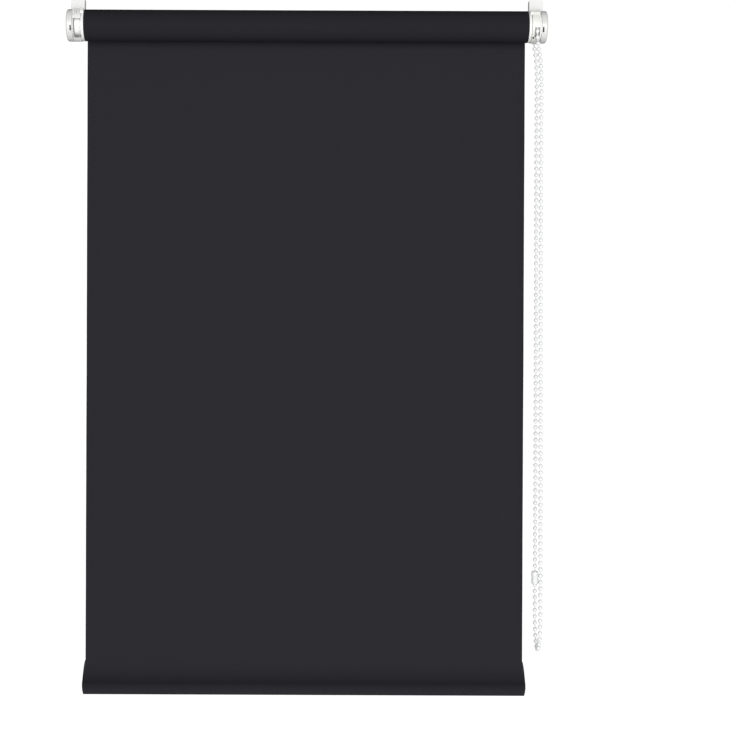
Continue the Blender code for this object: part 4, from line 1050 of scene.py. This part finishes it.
def swell(height):
    """How far a hem cap's face stands out at a height above the hem's foot."""
    widest = 12 * MM
    reach = 19 * MM if height > widest else widest
    return 0.1 * MM + 2.0 * MM * max(0.0, 1 - abs((height - widest) / reach) ** 2.5)


def hem_cap(side):
    """The domed cap on an end of the hem: rings that close in on a spine as they move outward."""
    name = side_name(side)
    end = CLOTH_LEFT if side == LEFT else CLOTH_RIGHT
    hollow, nose, toe, foot, rise = hem_line(2)
    closed = [(hollow[0][0], HEM_CAP_TOP), *hollow, *nose, *toe, *foot, *rise, (CLOTH_BACK, HEM_CAP_TOP)]
    line = offset_line(closed, 0.1 * MM)
    spine = []
    for y, z in line:
        level = sorted(line, key=lambda p: abs(p[1] - z))[:6]
        middle = (min(p[0] for p in level) + max(p[0] for p in level)) / 2
        spine.append(Vector((middle, max(z, HEM_BOTTOM + 5 * MM))))
    bm = bmesh.new()
    near = 0.05 * MM
    rings = [[bm.verts.new((end + side * near, y, z)) for y, z in line]]
    for share in CAP_RINGS:
        rise_out = 0.2 + 0.8 * math.sqrt(share * (2 - share) / 0.96)
        ring = []
        for (y, z), rest in zip(line, spine):
            at = Vector((y, z)).lerp(rest, share)
            out = near + swell(at.y - HEM_BOTTOM) * rise_out
            ring.append(bm.verts.new((end + side * out, at.x, at.y)))
        rings.append(ring)
    join_rings(bm, rings)
    bmesh.ops.triangulate(bm, faces=[bm.faces.new(rings[-1])])
    made = to_object(bm, f"hem_end_{name}", BLACK, sharp=math.radians(50))
    peg = sorted((end - side * 12 * MM, end + side * 0.8 * MM))
    weld(made, rod("peg", *peg, HEM_PEG_R, BLACK, Matrix.Translation((0, BULB_Y, BULB_Z))))
    return finished(made, HEM, "dark_plastic", f"hem_cap_{name}")


# --- CAD nodes that stay ---
def paint_frame():
    """New finishes for the CAD nodes whose shapes are shown as they are."""
    paints = {
        FOAM: ["sash_pad_left", "sash_pad_right"],
        STEEL: ["spindle_clip", "wrap_spring_1", "wrap_spring_2"],
        TUBE_STEEL: ["roller_tube"],
        WHITE: ["clutch_spindle", "idle_pin", "pin_retainer"],
        BAR: ["hem_bar"],
    }
    for finish, names in paints.items():
        for name in names:
            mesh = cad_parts[name].data
            mesh.materials.clear()
            mesh.materials.append(finish)


# --- studio ---
CAMERA_BACK, CAMERA_DROP = 1.400, 0.3155
LENS, SENSOR, CENTRE_SHIFT = 72.66, 36.0, 0.0849
ROLL_TILT, PITCH_DOWN = math.radians(0.235), math.radians(0.25)
AMBIENT_LOW, AMBIENT_HIGH = 0.42, 0.16
KEY_AT, KEY_WIDE, KEY_HIGH, KEY_POWER = (0.1, -2.5, -0.36), 2.4, 1.9, 65.0
FLOOR_Z = -1.62


def studio():
    """The camera in front of the blind, a soft light level with its middle, a pale surround and floor."""
    lens = bpy.data.cameras.new("camera")
    lens.lens, lens.sensor_width, lens.shift_x = LENS, SENSOR, CENTRE_SHIFT
    camera = bpy.data.objects.new("camera", lens)
    level = Matrix.Rotation(math.pi / 2 - PITCH_DOWN, 4, "X") @ Matrix.Rotation(ROLL_TILT, 4, "Z")
    camera.matrix_world = Matrix.Translation((0, AXIS_Y - CAMERA_BACK, AXIS_Z - CAMERA_DROP)) @ level
    bpy.context.scene.collection.objects.link(camera)
    bpy.context.scene.camera = camera

    key = bpy.data.lights.new("key", "AREA")
    key.shape, key.size, key.size_y, key.energy = "RECTANGLE", KEY_WIDE, KEY_HIGH, KEY_POWER
    lamp = bpy.data.objects.new("key", key)
    lamp.matrix_world = Matrix.Translation(KEY_AT) @ Matrix.Rotation(math.pi / 2, 4, "X")
    lamp.visible_camera = False
    bpy.context.scene.collection.objects.link(lamp)

    world = bpy.data.worlds.new("surround")
    world.use_nodes = True
    tree = world.node_tree
    way = node(tree, "ShaderNodeTexCoord").outputs["Generated"]
    height = node(tree, "ShaderNodeSeparateXYZ", {0: way}).outputs["Z"]
    ambient = node(
        tree, "ShaderNodeMapRange",
        {"Value": height, "From Min": -0.3, "From Max": 0.6, "To Min": AMBIENT_LOW, "To Max": AMBIENT_HIGH},
        interpolation_type="SMOOTHSTEP",
    ).outputs[0]
    seen = node(tree, "ShaderNodeLightPath").outputs["Is Camera Ray"]
    glow = node(tree, "ShaderNodeMix", {0: seen, 2: ambient, 3: 1.05}, data_type="FLOAT").outputs[0]
    tree.links.new(glow, tree.nodes["Background"].inputs["Strength"])
    tree.nodes["Background"].inputs["Color"].default_value = (1, 1, 1, 1)
    bpy.context.scene.world = world

    ground = box("floor", (-3.2, -3.2, FLOOR_Z - 0.02), (3.2, 3.2, FLOOR_Z), pale_floor())
    bpy.context.scene.view_settings.view_transform = "Standard"


def pale_floor():
    made, tree, shader = shaded("pale_floor", (0.82, 0.82, 0.81), 0.6)
    shade = tinted(tree, speckle(tree, 3), (0.8, 0.8, 0.79), (0.84, 0.84, 0.83))
    tree.links.new(shade, shader.inputs["Base Color"])
    return made


def build():
    studio()
    chain_loop()
    chain_on_wheel()
    rolled_cloth()
    hanging_cloth()
    for side in (LEFT, RIGHT):
        hook(side)
        clamp(side)
        cover_cap(side)
        hem_cap(side)
    bracket_left()
    bracket_right()
    chain_guard()
    bracket_screws()
    flanged_plugs()
    chain_wheel()
    pin_spring()
    paint_frame()


build()
